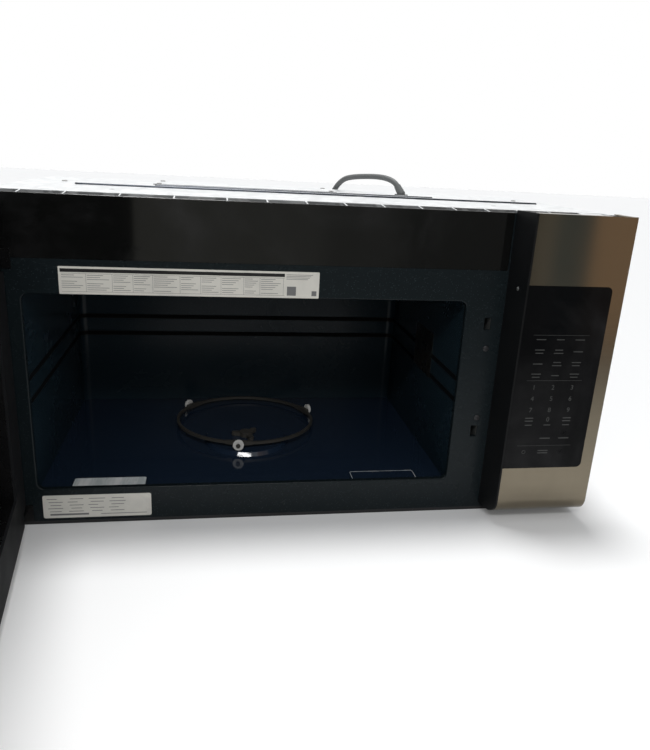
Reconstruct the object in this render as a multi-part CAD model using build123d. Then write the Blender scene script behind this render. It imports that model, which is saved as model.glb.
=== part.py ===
from build123d import *
import math
import os

# Over the range microwave, in millimetres.
# +X runs to the right, +Y to the wall behind, +Z up; the origin is the centre of the underside.
# Unless a name says otherwise, places along X are counted from the left end of the front,
# places along Y from the face of the front frame, and places along Z from the underside.

# ---- overall sizes ----
front_w = 759.0           # over the door and the control panel
side_step = 1.5           # the cabinet stands in from the front, each side
cab_h = 411.5             # underside to the top sheet
cab_d = 358.0             # front frame to the back plate
trim_d = 42.0             # door and control panel stand this far ahead of the frame
trim_bottom = 12.0        # underside of the door and the control panel
trim_rise = 1.5           # top edge of the door and the control panel above the top sheet
bullnose_r = 22.0         # rounded lower edge of the door and the control panel
sheet = 1.0               # cabinet sheet
skin = 1.0                # stainless skins
moulding = 2.5            # wall of the plastic mouldings
seat_gap = 0.2            # gap round a piece that drops into another
cab_w = front_w - 2 * side_step
trim_top = cab_h + trim_rise

# ---- base plate and what it holds ----
base_t = 1.2
base_upstand = 14.0
base_lip_h = 4.5          # the dark lip below the enamelled frame
filter_w = 130.0
filter_l = 200.0
filter_t = 6.0
filter_ledge = 6.0
filter_travel = 8.0       # sideways slip that frees a grease filter
filter_rim = 8.0
filter_tab_w = 24.0
filter_tab_l = 12.0
filter_tab_t = 1.0
filter_left_x = 150.0
filter_right_x = 455.0
filter_y = 190.0
lens_w = 70.0
lens_l = 40.0
lens_t = 3.0
lens_y = 50.0
lens_left_x = 160.0
lens_right_x = 446.0
lens_ledge = 5.0
lamp_board_w = 44.0
lamp_board_l = 24.0
lamp_dome_r = 7.0
lamp_dome_h = 3.4

# ---- front frame and oven cavity ----
frame_t = 1.2
bay_w = 139.0             # from the frame's visible right edge to the right end
frame_right = front_w - bay_w
mouth_x0 = 36.5
mouth_right = 49.0        # between the mouth and the frame's visible right edge
mouth_x1 = frame_right - mouth_right
mouth_z0 = 49.0
mouth_drop = 114.0        # top of the mouth below the top sheet
mouth_z1 = cab_h - mouth_drop
mouth_r = 8.0
lip_t = 1.2               # the mouth's edge turns inward
lip_d = 7.0
lip_r = 1.8
cavity_wall = 1.0
cavity_step = 2.0         # the cavity is this much wider than its mouth, each side
cavity_floor_z = 42.0
rear_space = 12.0         # behind the cavity
cavity_depth = cab_d - rear_space
cavity_r = 12.0
rack_bead_z = (161.5, 190.7)
rack_bead_h = 6.0
rack_bead_d = 2.0
pad_w = 95.0
pad_l = 34.0
pad_rise = 1.5
pad_offset = 184.0        # pad centres from the cavity's centre line
pad_y = 24.0

# ---- turntable ----
turn_y = 162.0            # axis of the coupler
platform_r = 64.0
platform_top_r = 60.0
platform_rise = 6.0
platform_edge_r = 2.0
ring_back = 61.5          # the loose ring lies this far behind the coupler's axis
ring_aside = 1.5          # and this far to the right of it
ring_track_r = 116.5      # centre of the wheels
ring_r = 107.0            # mean radius of the hoop
ring_t = 4.0
ring_h = 4.0
flare_l = 26.0            # half length of the deeper hoop at each wheel
flare_h = 7.0
flare_out = 0.4
cheek_w = 18.0
wheel_r = 8.0
wheel_t = 5.0
wheel_rim = 3.0
ring_heading = -97.7      # the front wheel, which stands on the platform
wheel_angles = (0, 120, -120)
axle_r = 2.2
axle_cap = 1.0
axle_end = 2.0
run_gap = 0.05            # radial clearance of a shaft in its bore
floor_gap = 0.3           # under the wheels
stem_r = 3.0
stem_l = 12.0
lobe_w = 8.0
hub_r = 10.0
coupler_r = 18.5
coupler_h = 7.0
lobe_drop = 1.5           # the lobes are this much lower than the hub
coupler_turn = 50.0
motor_r = 25.0
motor_h = 17.0

# ---- vent panel along the top ----
vent_drop = 1.8           # top edge of the vent panel below the top sheet
vent_h = 71.7
vent_depth = 24.0         # front to back opening of the air outlet
vent_end = 12.0           # closed length at each end of the outlet
vent_rib_runs = ((40.2, 48.6, 2), (148.9, 60.1, 3), (315.6, 46.7, 5))  # first rib, pitch and count
vent_last_first = 545.3   # the last run goes on to the right end
vent_last_pitch = 42.3
vent_rib_t = 1.8
vent_rib_h = 12.0
vent_rail_t = 2.5
vent_z1 = cab_h - vent_drop
vent_z0 = vent_z1 - vent_h

# ---- control panel ----
panel_w = 128.0
draft = 9.0               # the facing edges of the door and the panel lean by this over their depth
panel_x0 = front_w - panel_w          # left edge at its face
panel_x0_back = panel_x0 - draft      # left edge at the frame
glass_side = 17.0
glass_x1 = front_w - glass_side
glass_z0 = 83.0
glass_drop = 85.5         # top of the glass below the trim's top edge
glass_z1 = trim_top - glass_drop
glass_t = 3.0
glass_corner = 7.0
glass_proud = 0.3         # the glass stands this far ahead of the skins
board_side = 9.0
board_foot = 12.0
board_w = glass_x1 - panel_x0 - board_side - 6
board_h = glass_z1 - glass_z0 - 2 * board_foot - 4.5
board_t = 1.6
relay_w = 20.0
relay_h = 18.0
relay_d = 14.0
relay_pitch = 26.0
relay_x = 56.0
supply_w = 36.0
supply_h = 34.0
supply_d = 18.0
part_x = 8.0              # first column of board components
part_z = 10.0             # lowest row of board components
flange_w = 12.0           # turned-in top edge of the trim
flange_l = 96.0
side_flange_w = 7.0

# ---- door, described as closed ----
door_gap = 5.0            # between the door and the control panel
door_x1 = panel_x0 - door_gap         # right edge at its face
door_x1_back = door_x1 - draft        # right edge at the frame
door_edge = 0.0
door_inner_gap = 2.0      # between the frame and the door's inner face
door_open = 83.0          # the photograph's angle
hinge_x = 11.5
hinge_y = 14.0            # ahead of the frame
hinge_swing_gap = 0.6     # between the turning hinge edge and the frame
window_x0 = 52.0
window_side = 86.0
window_x1 = door_x1 - window_side
window_corner = 8.0
choke_x0 = 28.0
choke_over = 23.0         # the frame overlaps the mouth at the latch side
choke_x1 = mouth_x1 + choke_over
choke_z0 = mouth_z0 - 15
choke_z1 = mouth_z1 + 20.5
choke_d = 26.0
choke_band = 34.0
screen_t = 0.8
cover_t = 3.0
handle_in = 38.0          # handle axis from the door's latch edge
handle_x = door_x1 - handle_in
handle_z0 = 70.0
handle_drop = 57.0
handle_z1 = trim_top - handle_drop
handle_off = 40.0         # handle axis to the door's face
handle_rx = 11.0
handle_ry = 7.5
post_r = 6.5
post_inset = 24.0

# ---- hinges ----
pin_r = 3.0
arm_t = 3.0
arm_r = 8.0
hinge_low_z = 14.0
hinge_drop = 66.5         # upper hinge arm below the top sheet
hinge_high_z = cab_h - hinge_drop
tab_t = 3.0
bush_t = 2.0
bush_wall = 1.6
hinge_plate_w = 26.0
hinge_plate_h = 22.0
hinge_plate_t = 1.5
hinge_pocket = 15.0

# ---- latch ----
hook_in = 18.0            # latch slots from the frame's visible right edge
hook_x = frame_right - hook_in
hook_t = 3.0
hook_reach = 20.0         # beyond the door's inner face
hook_h = 9.0
hook_low_z = 119.5
hook_drop = 28.5          # upper hook below the mouth's top
hook_zs = (hook_low_z, mouth_z1 - hook_drop)
slot_w = 9.0
slot_h = 16.0
latch_bar_w = 8.0
latch_bar_t = 4.0
latch_bar_end = 20.0      # bar beyond the outer hooks
latch_lift = 3.0
spring_r = 3.2
spring_h = 18.0

# ---- behind the latch and in the component bay ----
switch_off = 21.0         # from the frame's back to the switch fronts
switch_w = 10.0
switch_h = 26.0
switch_d = 15.0
switch_pitch = 28.5
switch_zs = (hook_zs[0], hook_zs[0] + switch_pitch, hook_zs[1])
terminal_l = 4.0
terminal_pitch = 8.0
foot_w = 14.0
foot_h = 20.0
board_over = 6.0          # the latch board reaches past the outer switches
plunger_r = 1.6
plunger_out = 2.4
plunger_in = 4.0
plunger_travel = 1.2
plunger_gap = 0.08
magnetron_w = 80.0
magnetron_d = 90.0
magnetron_h = 74.0
magnetron_x = frame_right + 30
magnetron_y = 160.0
magnetron_z = 212.0
fin_count = 7
antenna_r = 8.0
antenna_l = 22.0
guide_w = 84.0
guide_h = 110.0
guide_z = 190.0
transformer_w = 92.0
transformer_d = 84.0
transformer_h = 76.0
transformer_x = front_w - 69
transformer_y = 92.0
capacitor_x = frame_right - 5
capacitor_y = 92.0
capacitor_r = 16.0
capacitor_span = 22.0
capacitor_h = 92.0
fan_x = front_w - 91
fan_z = 96.0
fan_y = 318.0
fan_r = 42.0
fan_box = 96.0
fan_hub_r = 12.0
fan_blades = 5
fan_depth = 22.0
fan_arm_t = 3.0
fan_arm_h = 12.0
noise_y = 236.0
noise_z = 206.0
noise_l = 78.0
noise_h = 70.0
noise_post = 6.0
noise_choke_r = 15.0
noise_choke_l = 18.4
noise_fuse_l = 14.4
lamp_y = 79.0
lamp_drop = 25.5          # lamp below the mouth's top
lamp_l = 40.0
lamp_w = 44.0
lamp_h = 36.0
lamp_wall = 2.0
lamp_hole_r = 2.0
lamp_hole_pitch = 9.0
bulb_r = 9.0
bulb_l = 26.0

# ---- blower and filters of the hood ----
blower_y = 268.0
blower_drop = 57.5        # blower axis below the top sheet
blower_z = cab_h - blower_drop
blower_r = 38.0
blower_gap = 6.0
blower_wheel_w = 58.0
blower_blades = 18
blower_blade_t = 1.2
blower_blade_d = 8.0
blower_motor_r = 30.0
blower_motor_w = 66.0
blower_shaft_r = 3.0
blower_x = (mouth_x0 + mouth_x1) / 2
scroll_t = 1.0
outlet_h = 40.0
outlet_y = 190.0
inlet_r = 28.0
exhaust_w = 250.0
exhaust_l = 78.0
exhaust_y = 300.0
exhaust_plate_w = 274.0
exhaust_plate_l = 96.0
charcoal_y = 44.0
charcoal_t = 12.0
charcoal_x0 = 60.0
charcoal_x1 = mouth_x1 - 23

# ---- top sheet, back plate and wall fixing ----
bead_w = 10.0
bead_rise = 2.2
bead_ys = (174.0, 212.0)
bead_spans = ((71.0, front_w - 28), (172.0, front_w - 178))
bolt_hole_r = 3.4
bolt_spacing = 500.0
bolt_y = 92.0
hook_slot_w = 26.0
hook_slot_h = 8.0
hook_slot_z = 18.0
hook_slot_spacing = 406.4
back_bar_zs = (144.0, 288.0)
top_screw_xs = (46.0, front_w - 299, front_w - 37)
top_screw_y = 236.0
frame_screw_zs = (hook_zs[0] + 19.7, hook_zs[1] - 33)
screw_r = 4.0
screw_h = 1.6

# ---- power cord ----
cord_r = 4.25
relief_x = front_w - 216
relief_y = 252.0
relief_l = 14.0
relief_wall = 1.8
relief_tilt = 50.0        # rise of the cord where it leaves the top sheet
relief_heading = 127.0    # direction over the top, counted from +X
relief_run = 17.0         # straight run ahead of the sleeve
coil_turn_r = 48.0
coil_layers = 2
coil_end_l = 44.0         # straight end between the coil and the plug
plug_w = 26.0
plug_l = 38.0
plug_h = 20.0

# ---- derived places ----
front_y = -cab_d / 2
back_y = cab_d / 2
left_x = -front_w / 2
cab_x0 = -cab_w / 2
cab_x1 = cab_w / 2
face_y = front_y - trim_d
cavity_x0 = left_x + mouth_x0 - cavity_step
cavity_x1 = left_x + mouth_x1 + cavity_step
cavity_mid_x = (cavity_x0 + cavity_x1) / 2
cavity_ceiling_z = mouth_z1 + cavity_step
cavity_back_y = front_y + cavity_depth
axis_y = front_y + turn_y
ring_tilt = math.degrees(math.asin(platform_rise / (1.5 * ring_track_r)))
ring_z = cavity_floor_z + floor_gap + wheel_r + platform_rise / 3
ring_place = (Pos(cavity_mid_x + ring_aside, axis_y + ring_back, ring_z)
              * Rot(0, 0, ring_heading) * Rot(0, -ring_tilt, 0))
lamp_z = mouth_z1 - lamp_drop
hinge_axis = Axis((left_x + hinge_x, front_y - hinge_y, 0), (0, 0, 1))


def block(x0, x1, y0, y1, z0, z1):
    return Pos((x0 + x1) / 2, (y0 + y1) / 2, (z0 + z1) / 2) * Box(x1 - x0, y1 - y0, z1 - z0)


def rod_x(x0, x1, y, z, r):
    return Pos((x0 + x1) / 2, y, z) * Rot(0, 90, 0) * Cylinder(r, x1 - x0)


def rod_y(x, y0, y1, z, r):
    return Pos(x, (y0 + y1) / 2, z) * Rot(90, 0, 0) * Cylinder(r, y1 - y0)


def rod_z(x, y, z0, z1, r):
    return Pos(x, y, (z0 + z1) / 2) * Cylinder(r, z1 - z0)


def rounded_xz(x0, x1, z0, z1, r, y0, y1):
    """A plate in the XZ plane with rounded corners, from y0 to y1."""
    outline = Plane((((x0 + x1) / 2), y1, ((z0 + z1) / 2)), x_dir=(1, 0, 0), z_dir=(0, -1, 0))
    return extrude(outline * RectangleRounded(x1 - x0, z1 - z0, r), y1 - y0)


def rounded_xy(x0, x1, y0, y1, r, z0, z1):
    """A plate in the XY plane with rounded corners, from z0 to z1."""
    outline = Plane(((x0 + x1) / 2, (y0 + y1) / 2, z0))
    return extrude(outline * RectangleRounded(x1 - x0, y1 - y0, r), z1 - z0)


# ---------------------------------------------------------------- cabinet


def cabinet_wrap():
    """Top and both sides, folded from one sheet, with beads, bolt holes and the cord hole."""
    top_front = front_y + vent_depth
    body = block(cab_x0, cab_x1, front_y + frame_t, back_y, 0, cab_h)
    body -= block(cab_x0 + sheet, cab_x1 - sheet, front_y, back_y + 1, -1, cab_h - sheet)
    body -= block(cab_x0 + vent_end, cab_x1 - vent_end, front_y, top_front, cab_h - 2 * sheet, cab_h + 1)
    body += block(cab_x0 + vent_end, cab_x1 - vent_end, top_front, top_front + sheet,
                  cab_h - vent_rib_h, cab_h - sheet)
    for y, (start, end) in zip(bead_ys, bead_spans):
        bead = rounded_xy(left_x + start, left_x + end, front_y + y - bead_w / 2,
                          front_y + y + bead_w / 2, bead_w / 2 - 0.01, cab_h, cab_h + bead_rise)
        body += chamfer(bead.edges().group_by(Axis.Z)[-1], bead_rise / 2)
    for side in (-1, 1):
        body -= rod_z(side * bolt_spacing / 2, front_y + bolt_y, cab_h - 5, cab_h + 5, bolt_hole_r)
    body -= rod_z(left_x + relief_x, front_y + relief_y, cab_h - 5, cab_h + 5, cord_r + 3)
    body -= block(left_x + blower_x - exhaust_w / 2, left_x + blower_x + exhaust_w / 2,
                  front_y + exhaust_y - exhaust_l / 2, front_y + exhaust_y + exhaust_l / 2,
                  cab_h - 5, cab_h + 5)
    return body


def back_plate():
    """Rear wall with the slots that drop over the wall hooks and a pressed cross bar."""
    plate = block(cab_x0 + sheet, cab_x1 - sheet, back_y - sheet, back_y, 0, cab_h - sheet)
    for side in (-1, 1):
        x = side * hook_slot_spacing / 2
        slot = Plane((x, back_y - 5, hook_slot_z), x_dir=(1, 0, 0), z_dir=(0, -1, 0)) * Pos(0, 0, -10)
        plate -= extrude(slot * SlotOverall(hook_slot_w, hook_slot_h), 10)
    for z in back_bar_zs:
        plate += block(cab_x0 + 30, cab_x1 - 30, back_y - 3 * sheet, back_y - sheet, z - 6, z + 6)
    return plate


def base_plate():
    """Underside tray: folded edges, two filter openings with ledges, two lamp openings."""
    x0 = cab_x0 + sheet
    x1 = cab_x1 - sheet
    y1 = back_y - sheet
    tray = block(x0, x1, front_y, y1, 0, base_t)
    tray += block(x0, x1, front_y, front_y + frame_t, 0, base_lip_h)
    tray += block(x0, x1, y1 - base_t, y1, 0, base_upstand)
    for x in (x0, x1 - base_t):
        tray += block(x, x + base_t, front_y + frame_t, y1, 0, base_upstand)
    for x in (filter_left_x, filter_right_x):
        tray -= filter_pocket(left_x + x)
        tray += filter_surround(left_x + x)
    for x in (lens_left_x, lens_right_x):
        tray -= block(left_x + x - lens_w / 2 + lens_ledge, left_x + x + lens_w / 2 - lens_ledge,
                      front_y + lens_y - lens_l / 2 + lens_ledge, front_y + lens_y + lens_l / 2 - lens_ledge,
                      -1, base_t + 1)
    return tray


def filter_pocket(x):
    """The air opening below a grease filter."""
    y = front_y + filter_y
    return block(x - filter_w / 2 + filter_ledge, x + filter_w / 2 - filter_ledge,
                 y - filter_l / 2 + filter_ledge, y + filter_l / 2 - filter_ledge, -1, base_t + 1)


def filter_surround(x):
    """Upstands round a grease filter, one filter travel longer on its free side."""
    y = front_y + filter_y
    inner = block(x - filter_w / 2 - seat_gap, x + filter_w / 2 + filter_travel + seat_gap,
                  y - filter_l / 2 - seat_gap, y + filter_l / 2 + seat_gap, 0, 20)
    outer = block(x - filter_w / 2 - seat_gap - base_t, x + filter_w / 2 + filter_travel + seat_gap + base_t,
                  y - filter_l / 2 - seat_gap - base_t, y + filter_l / 2 + seat_gap + base_t,
                  base_t, base_t + filter_t + 1)
    return outer - inner


def grease_filter(x):
    """Mesh pad in a folded rim, with a pull tab below."""
    y = front_y + filter_y
    z0 = base_t + floor_gap
    pad = block(x - filter_w / 2, x + filter_w / 2, y - filter_l / 2, y + filter_l / 2, z0, z0 + filter_t)
    for z in (z0 - 1, z0 + filter_t - 1):
        pad -= block(x - filter_w / 2 + filter_rim, x + filter_w / 2 - filter_rim,
                     y - filter_l / 2 + filter_rim, y + filter_l / 2 - filter_rim, z, z + 2)
    tab_y = y - filter_l / 2 + filter_rim
    return pad + block(x - filter_tab_w / 2, x + filter_tab_w / 2, tab_y - 1, tab_y + filter_tab_l,
                       z0 - filter_tab_t, z0 + 1)


def cooktop_lenses():
    """Two frosted lenses over the lamp openings of the base."""
    y = front_y + lens_y
    lenses = []
    for x in (left_x + lens_left_x, left_x + lens_right_x):
        lenses.append(rounded_xy(x - lens_w / 2, x + lens_w / 2, y - lens_l / 2, y + lens_l / 2,
                                 5, base_t, base_t + lens_t))
    return Compound(children=lenses)


def cooktop_lamps():
    """Two lamp boards, each with a low dome over its emitter."""
    y = front_y + lens_y
    z = base_t + lens_t
    lamps = []
    for x in (left_x + lens_left_x, left_x + lens_right_x):
        board = block(x - lamp_board_w / 2, x + lamp_board_w / 2, y - lamp_board_l / 2, y + lamp_board_l / 2,
                      z, z + board_t)
        lamps.append(board + rod_z(x, y, z + board_t, z + board_t + lamp_dome_h, lamp_dome_r))
    return Compound(children=lamps)


def front_frame():
    """Enamelled plate with the oven mouth, its rounded lip turned inward, and the two latch slots."""
    plate = block(cab_x0 + sheet, left_x + frame_right, front_y, front_y + frame_t, base_lip_h, vent_z0)
    plate += block(left_x + frame_right, cab_x1 - sheet, front_y, front_y + frame_t, base_lip_h, vent_z1)
    plate += rounded_xz(left_x + mouth_x0 - lip_t, left_x + mouth_x1 + lip_t, mouth_z0 - lip_t,
                        mouth_z1 + lip_t, mouth_r + lip_t, front_y, front_y + lip_d)
    plate -= rounded_xz(left_x + mouth_x0, left_x + mouth_x1, mouth_z0, mouth_z1, mouth_r,
                        front_y - 1, front_y + lip_d + 1)
    face = plate.faces().filter_by(Axis.Y).sort_by(Axis.Y)[0]
    plate = fillet(face.inner_wires().sort_by(SortBy.LENGTH)[-1].edges(), lip_r)
    for z in hook_zs:
        plate -= block(left_x + hook_x - slot_w / 2, left_x + hook_x + slot_w / 2,
                       front_y - 1, front_y + 5, z - slot_h / 2, z + slot_h / 2)
        ledge_z = z - slot_h / 2 - 2
        plate += block(left_x + hook_x - slot_w / 2, left_x + hook_x + slot_w / 2,
                       front_y + frame_t, front_y + 6, ledge_z, ledge_z + 2)
    plate += block(cab_x0 + sheet, left_x + frame_right, front_y + frame_t, front_y + 10,
                   vent_z0 - frame_t, vent_z0)
    return plate


def vent_panel():
    """Upper front panel above the frame, with its turned-in lower edge."""
    x0 = cab_x0 + sheet
    x1 = left_x + frame_right - seat_gap
    panel = block(x0, x1, front_y, front_y + moulding, vent_z0 + seat_gap, vent_z1)
    top_edge = panel.faces().sort_by(Axis.Z)[-1].edges().sort_by(Axis.Y)[0]
    panel = fillet(top_edge, moulding / 3)
    return panel + block(x0, x1, front_y + moulding, front_y + vent_rib_h, vent_z0 + seat_gap,
                         vent_z0 + seat_gap + moulding)


def outlet_grille():
    """Comb along the top front edge: a rear rail, two end plates and sloped ribs across the outlet."""
    x0 = cab_x0 + vent_end
    x1 = cab_x1 - vent_end
    front = front_y + moulding + seat_gap
    rear = front_y + vent_depth
    low = vent_z1 - vent_rib_h
    high = cab_h - seat_gap
    comb = block(x0, x1, rear - vent_rail_t, rear, low, high)
    with BuildSketch(Plane((x0, 0, 0), x_dir=(0, 1, 0), z_dir=(1, 0, 0))) as side:
        with BuildLine():
            Polyline((front, low), (rear, low), (rear, high), (rear - vent_rail_t, high), (front, vent_z1), close=True)
        make_face()
    rib = extrude(side.sketch, vent_rib_t)
    count = int((front_w - side_step - vent_end - vent_rib_t - vent_last_first) // vent_last_pitch) + 1
    places = [first + i * pitch for first, pitch, number in vent_rib_runs for i in range(number)]
    places += [vent_last_first + i * vent_last_pitch for i in range(count)]
    for place in places:
        comb += Pos(left_x + place - vent_rib_t / 2 - x0, 0, 0) * rib
    comb += rib
    last = left_x + places[-1] - vent_rib_t / 2
    return comb + extrude(side.sketch, x1 - last).translate((last - x0, 0, 0))


# ---------------------------------------------------------------- oven cavity


def cavity_shell():
    """Side walls, back and ceiling with rounded rear corners, two rack beads on the back."""
    w = cavity_wall
    y0 = front_y + frame_t
    outer = block(cavity_x0 - w, cavity_x1 + w, y0, cavity_back_y + w, cavity_floor_z, cavity_ceiling_z + w)
    outer = fillet(outer.edges().filter_by(Axis.Z).group_by(Axis.Y)[-1], cavity_r + w)
    inner = block(cavity_x0, cavity_x1, y0 - 20, cavity_back_y, cavity_floor_z - 20, cavity_ceiling_z)
    inner = fillet(inner.edges().filter_by(Axis.Z).group_by(Axis.Y)[-1], cavity_r)
    shell = outer - inner
    for z in rack_bead_z:
        shell += block(cavity_x0 + cavity_r, cavity_x1 - cavity_r, cavity_back_y - rack_bead_d, cavity_back_y,
                       z - rack_bead_h / 2, z + rack_bead_h / 2)
    shell -= block(cavity_x1 - 1, cavity_x1 + 3, front_y + magnetron_y - guide_w / 2 + 12,
                   front_y + magnetron_y + guide_w / 2 - 12, guide_z - 24, guide_z + 24)
    for i in (-1, 0, 1):
        for k in (-1, 0, 1):
            shell -= rod_x(cavity_x1 - 1, cavity_x1 + 3, front_y + lamp_y + lamp_hole_pitch * i,
                           lamp_z + lamp_hole_pitch * k, lamp_hole_r)
    return shell


def cavity_floor():
    """Floor sheet with the pressed platform, the shaft hole and two pressed pads."""
    w = cavity_wall
    z = cavity_floor_z
    sheet_plate = block(cavity_x0 - w, cavity_x1 + w, front_y + frame_t, cavity_back_y + w, z - w, z)
    dome = Pos(cavity_mid_x, axis_y, z + platform_rise / 2) * Cone(platform_r, platform_top_r, platform_rise)
    dome = fillet(dome.edges().group_by(Axis.Z)[-1], platform_edge_r)
    hollow = Pos(cavity_mid_x, axis_y, z - w + platform_rise / 2 - w / 2)
    hollow *= Cone(platform_r - w, platform_top_r - w, platform_rise + w)
    floor = sheet_plate + dome - hollow
    for side in (-1, 1):
        x = cavity_mid_x + side * pad_offset
        y = front_y + pad_y
        pad = rounded_xy(x - pad_w / 2, x + pad_w / 2, y - pad_l / 2, y + pad_l / 2, 4, z, z + pad_rise)
        floor += fillet(pad.edges().group_by(Axis.Z)[-1], pad_rise * 0.6)
    floor -= rod_z(cavity_mid_x, axis_y, z - 5, z + 10, stem_r + 1.5)
    return floor


def waveguide():
    """Steel duct from the magnetron's antenna to the opening in the cavity's right wall."""
    x0 = cavity_x1 + cavity_wall
    x1 = left_x + magnetron_x - magnetron_w / 2
    y = front_y + magnetron_y
    duct = block(x0, x1, y - guide_w / 2, y + guide_w / 2, guide_z - guide_h / 2, guide_z + guide_h / 2)
    duct -= block(x0 - 1, x1 - 1, y - guide_w / 2 + 1, y + guide_w / 2 - 1,
                  guide_z - guide_h / 2 + 1, guide_z + guide_h / 2 - 1)
    return duct - rod_x(x1 - 5, x1 + 5, y, magnetron_z, antenna_r + 1)


def waveguide_cover():
    """Mica sheet over the feed opening, inside the cavity."""
    y = front_y + magnetron_y
    return block(cavity_x1 - 0.5, cavity_x1, y - guide_w / 2, y + guide_w / 2, guide_z - 34, guide_z + 34)


def magnetron():
    """Yoke frame with its stack of cooling fins and the antenna towards the cavity."""
    x = left_x + magnetron_x
    y = front_y + magnetron_y
    z = magnetron_z
    w = magnetron_w / 2
    d = magnetron_d / 2
    h = magnetron_h / 2
    yoke = block(x - w, x + w, y - d, y + d, z - h, z + h)
    yoke -= block(x - w + 2, x + w - 2, y - d - 1, y + d + 1, z - h + 2, z + h - 2)
    core = rod_x(x - w, x + w, y, z, 19)
    tube = yoke + core
    for i in range(fin_count):
        fin_x = x - w + 14 + i * (2 * w - 28) / (fin_count - 1)
        tube += block(fin_x - 0.5, fin_x + 0.5, y - d + 4, y + d - 4, z - h, z + h)
    return tube + rod_x(x - w - antenna_l, x - w, y, z, antenna_r)


# ---------------------------------------------------------------- turntable


def turntable_motor():
    """Flat geared motor hung under the platform, with a bore for the coupler's stem."""
    z1 = cavity_floor_z + platform_rise - cavity_wall
    can = rod_z(cavity_mid_x, axis_y, z1 - motor_h, z1, motor_r)
    for side in (-1, 1):
        x = cavity_mid_x + side * motor_r
        can += block(x - 7, x + 7, axis_y - 5, axis_y + 5, z1 - 2, z1)
    return can - rod_z(cavity_mid_x, axis_y, z1 - stem_l - 1, z1 + 1, stem_r + run_gap)


def turntable_coupler():
    """Three-lobed coupler that the tray would sit on, with its stem down to the motor."""
    z0 = cavity_floor_z + platform_rise + floor_gap
    coupler = rod_z(cavity_mid_x, axis_y, z0, z0 + coupler_h, hub_r)
    coupler += rod_z(cavity_mid_x, axis_y, z0 - stem_l, z0, stem_r)
    for i in range(3):
        place = Pos(cavity_mid_x, axis_y, 0) * Rot(0, 0, coupler_turn + 120 * i)
        coupler += place * block(0, coupler_r, -lobe_w / 2, lobe_w / 2, z0, z0 + coupler_h - lobe_drop)
        coupler += place * rod_z(coupler_r, 0, z0, z0 + coupler_h - lobe_drop, lobe_w / 2)
    return coupler


def roller_ring():
    """Moulded hoop, deeper at its three cheeks, with the stub axles. It lies with one wheel on the platform."""
    outer = ring_r + ring_t / 2
    inner = ring_r - ring_t / 2
    hoop = rod_z(0, 0, -ring_h / 2, ring_h / 2, outer) - rod_z(0, 0, -ring_h, ring_h, inner)
    band = rod_z(0, 0, -flare_h, flare_h, outer + flare_out) - rod_z(0, 0, -2 * flare_h, 2 * flare_h, inner - flare_out)
    lens = Plane((0, 0, 0), x_dir=(0, 1, 0), z_dir=(1, 0, 0)) * Ellipse(flare_l, flare_h / 2)
    flare = band & extrude(lens, outer + 5)
    near = ring_track_r - wheel_t / 2 - floor_gap
    far = ring_track_r + wheel_t / 2
    for angle in wheel_angles:
        turn = Rot(0, 0, angle)
        hoop += turn * flare
        hoop += turn * block(ring_r - 1, near, -cheek_w / 2, cheek_w / 2, -ring_h / 2, ring_h / 2)
        hoop += turn * rod_x(ring_r, far + axle_end, 0, 0, axle_r)
        hoop += turn * rod_x(far + floor_gap, far + axle_end, 0, 0, axle_r + axle_cap)
    return ring_place * hoop


def ring_wheel(angle):
    near = ring_track_r - wheel_t / 2
    far = ring_track_r + wheel_t / 2
    wheel = rod_x(near, far, 0, 0, wheel_r)
    wheel = chamfer(wheel.edges(), wheel_t / 8)
    wheel -= rod_x(near - 1, far + 1, 0, 0, axle_r + run_gap)
    wheel -= rod_x(far - 1, far + 1, 0, 0, wheel_r - wheel_rim)
    return ring_place * Rot(0, 0, angle) * wheel


# ---------------------------------------------------------------- control panel


def trim_profile(inset, x, back):
    """Side view of a front trim: flat face, rounded lower edge and a flat underside."""
    y0 = face_y + inset
    z0 = trim_bottom + inset
    r = bullnose_r - inset
    with BuildSketch(Plane((x, 0, 0), x_dir=(0, 1, 0), z_dir=(1, 0, 0))) as profile:
        with BuildLine():
            Polyline((y0, z0 + r), (y0, trim_top), (back, trim_top), (back, z0), (y0 + r, z0))
            RadiusArc((y0 + r, z0), (y0, z0 + r), r)
        make_face()
    return profile.sketch


def control_trim():
    """Stainless shell of the control panel: face, right side and rounded bottom, open on top."""
    x0 = left_x + panel_x0
    x1 = left_x + front_w
    shell = extrude(trim_profile(0, x0, front_y), x1 - x0)
    shell -= extrude(trim_profile(skin, x0 - 1, front_y + 1), x1 - x0 + 1 - skin)
    window = rounded_xz(x0 - 20, left_x + glass_x1 + seat_gap, glass_z0 - seat_gap, glass_z1 + seat_gap,
                        glass_corner, face_y - 5, face_y + 5)
    top = block(x0, x0 + flange_l, face_y + skin / 2, face_y + flange_w, trim_top - skin, trim_top)
    side = block(x1 - side_flange_w, x1 - skin / 2, face_y + skin / 2, front_y, trim_top - skin, trim_top)
    return shell - window + top + side


def control_glass():
    """Touch glass, rounded on the right and flush with the trim."""
    y0 = face_y - glass_proud
    glass = rounded_xz(left_x + panel_x0 - 20, left_x + glass_x1, glass_z0, glass_z1,
                       glass_corner - seat_gap, y0, y0 + glass_t)
    return glass - block(left_x + panel_x0 - 30, left_x + panel_x0, y0 - 5, y0 + 10, 0, trim_top)


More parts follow.
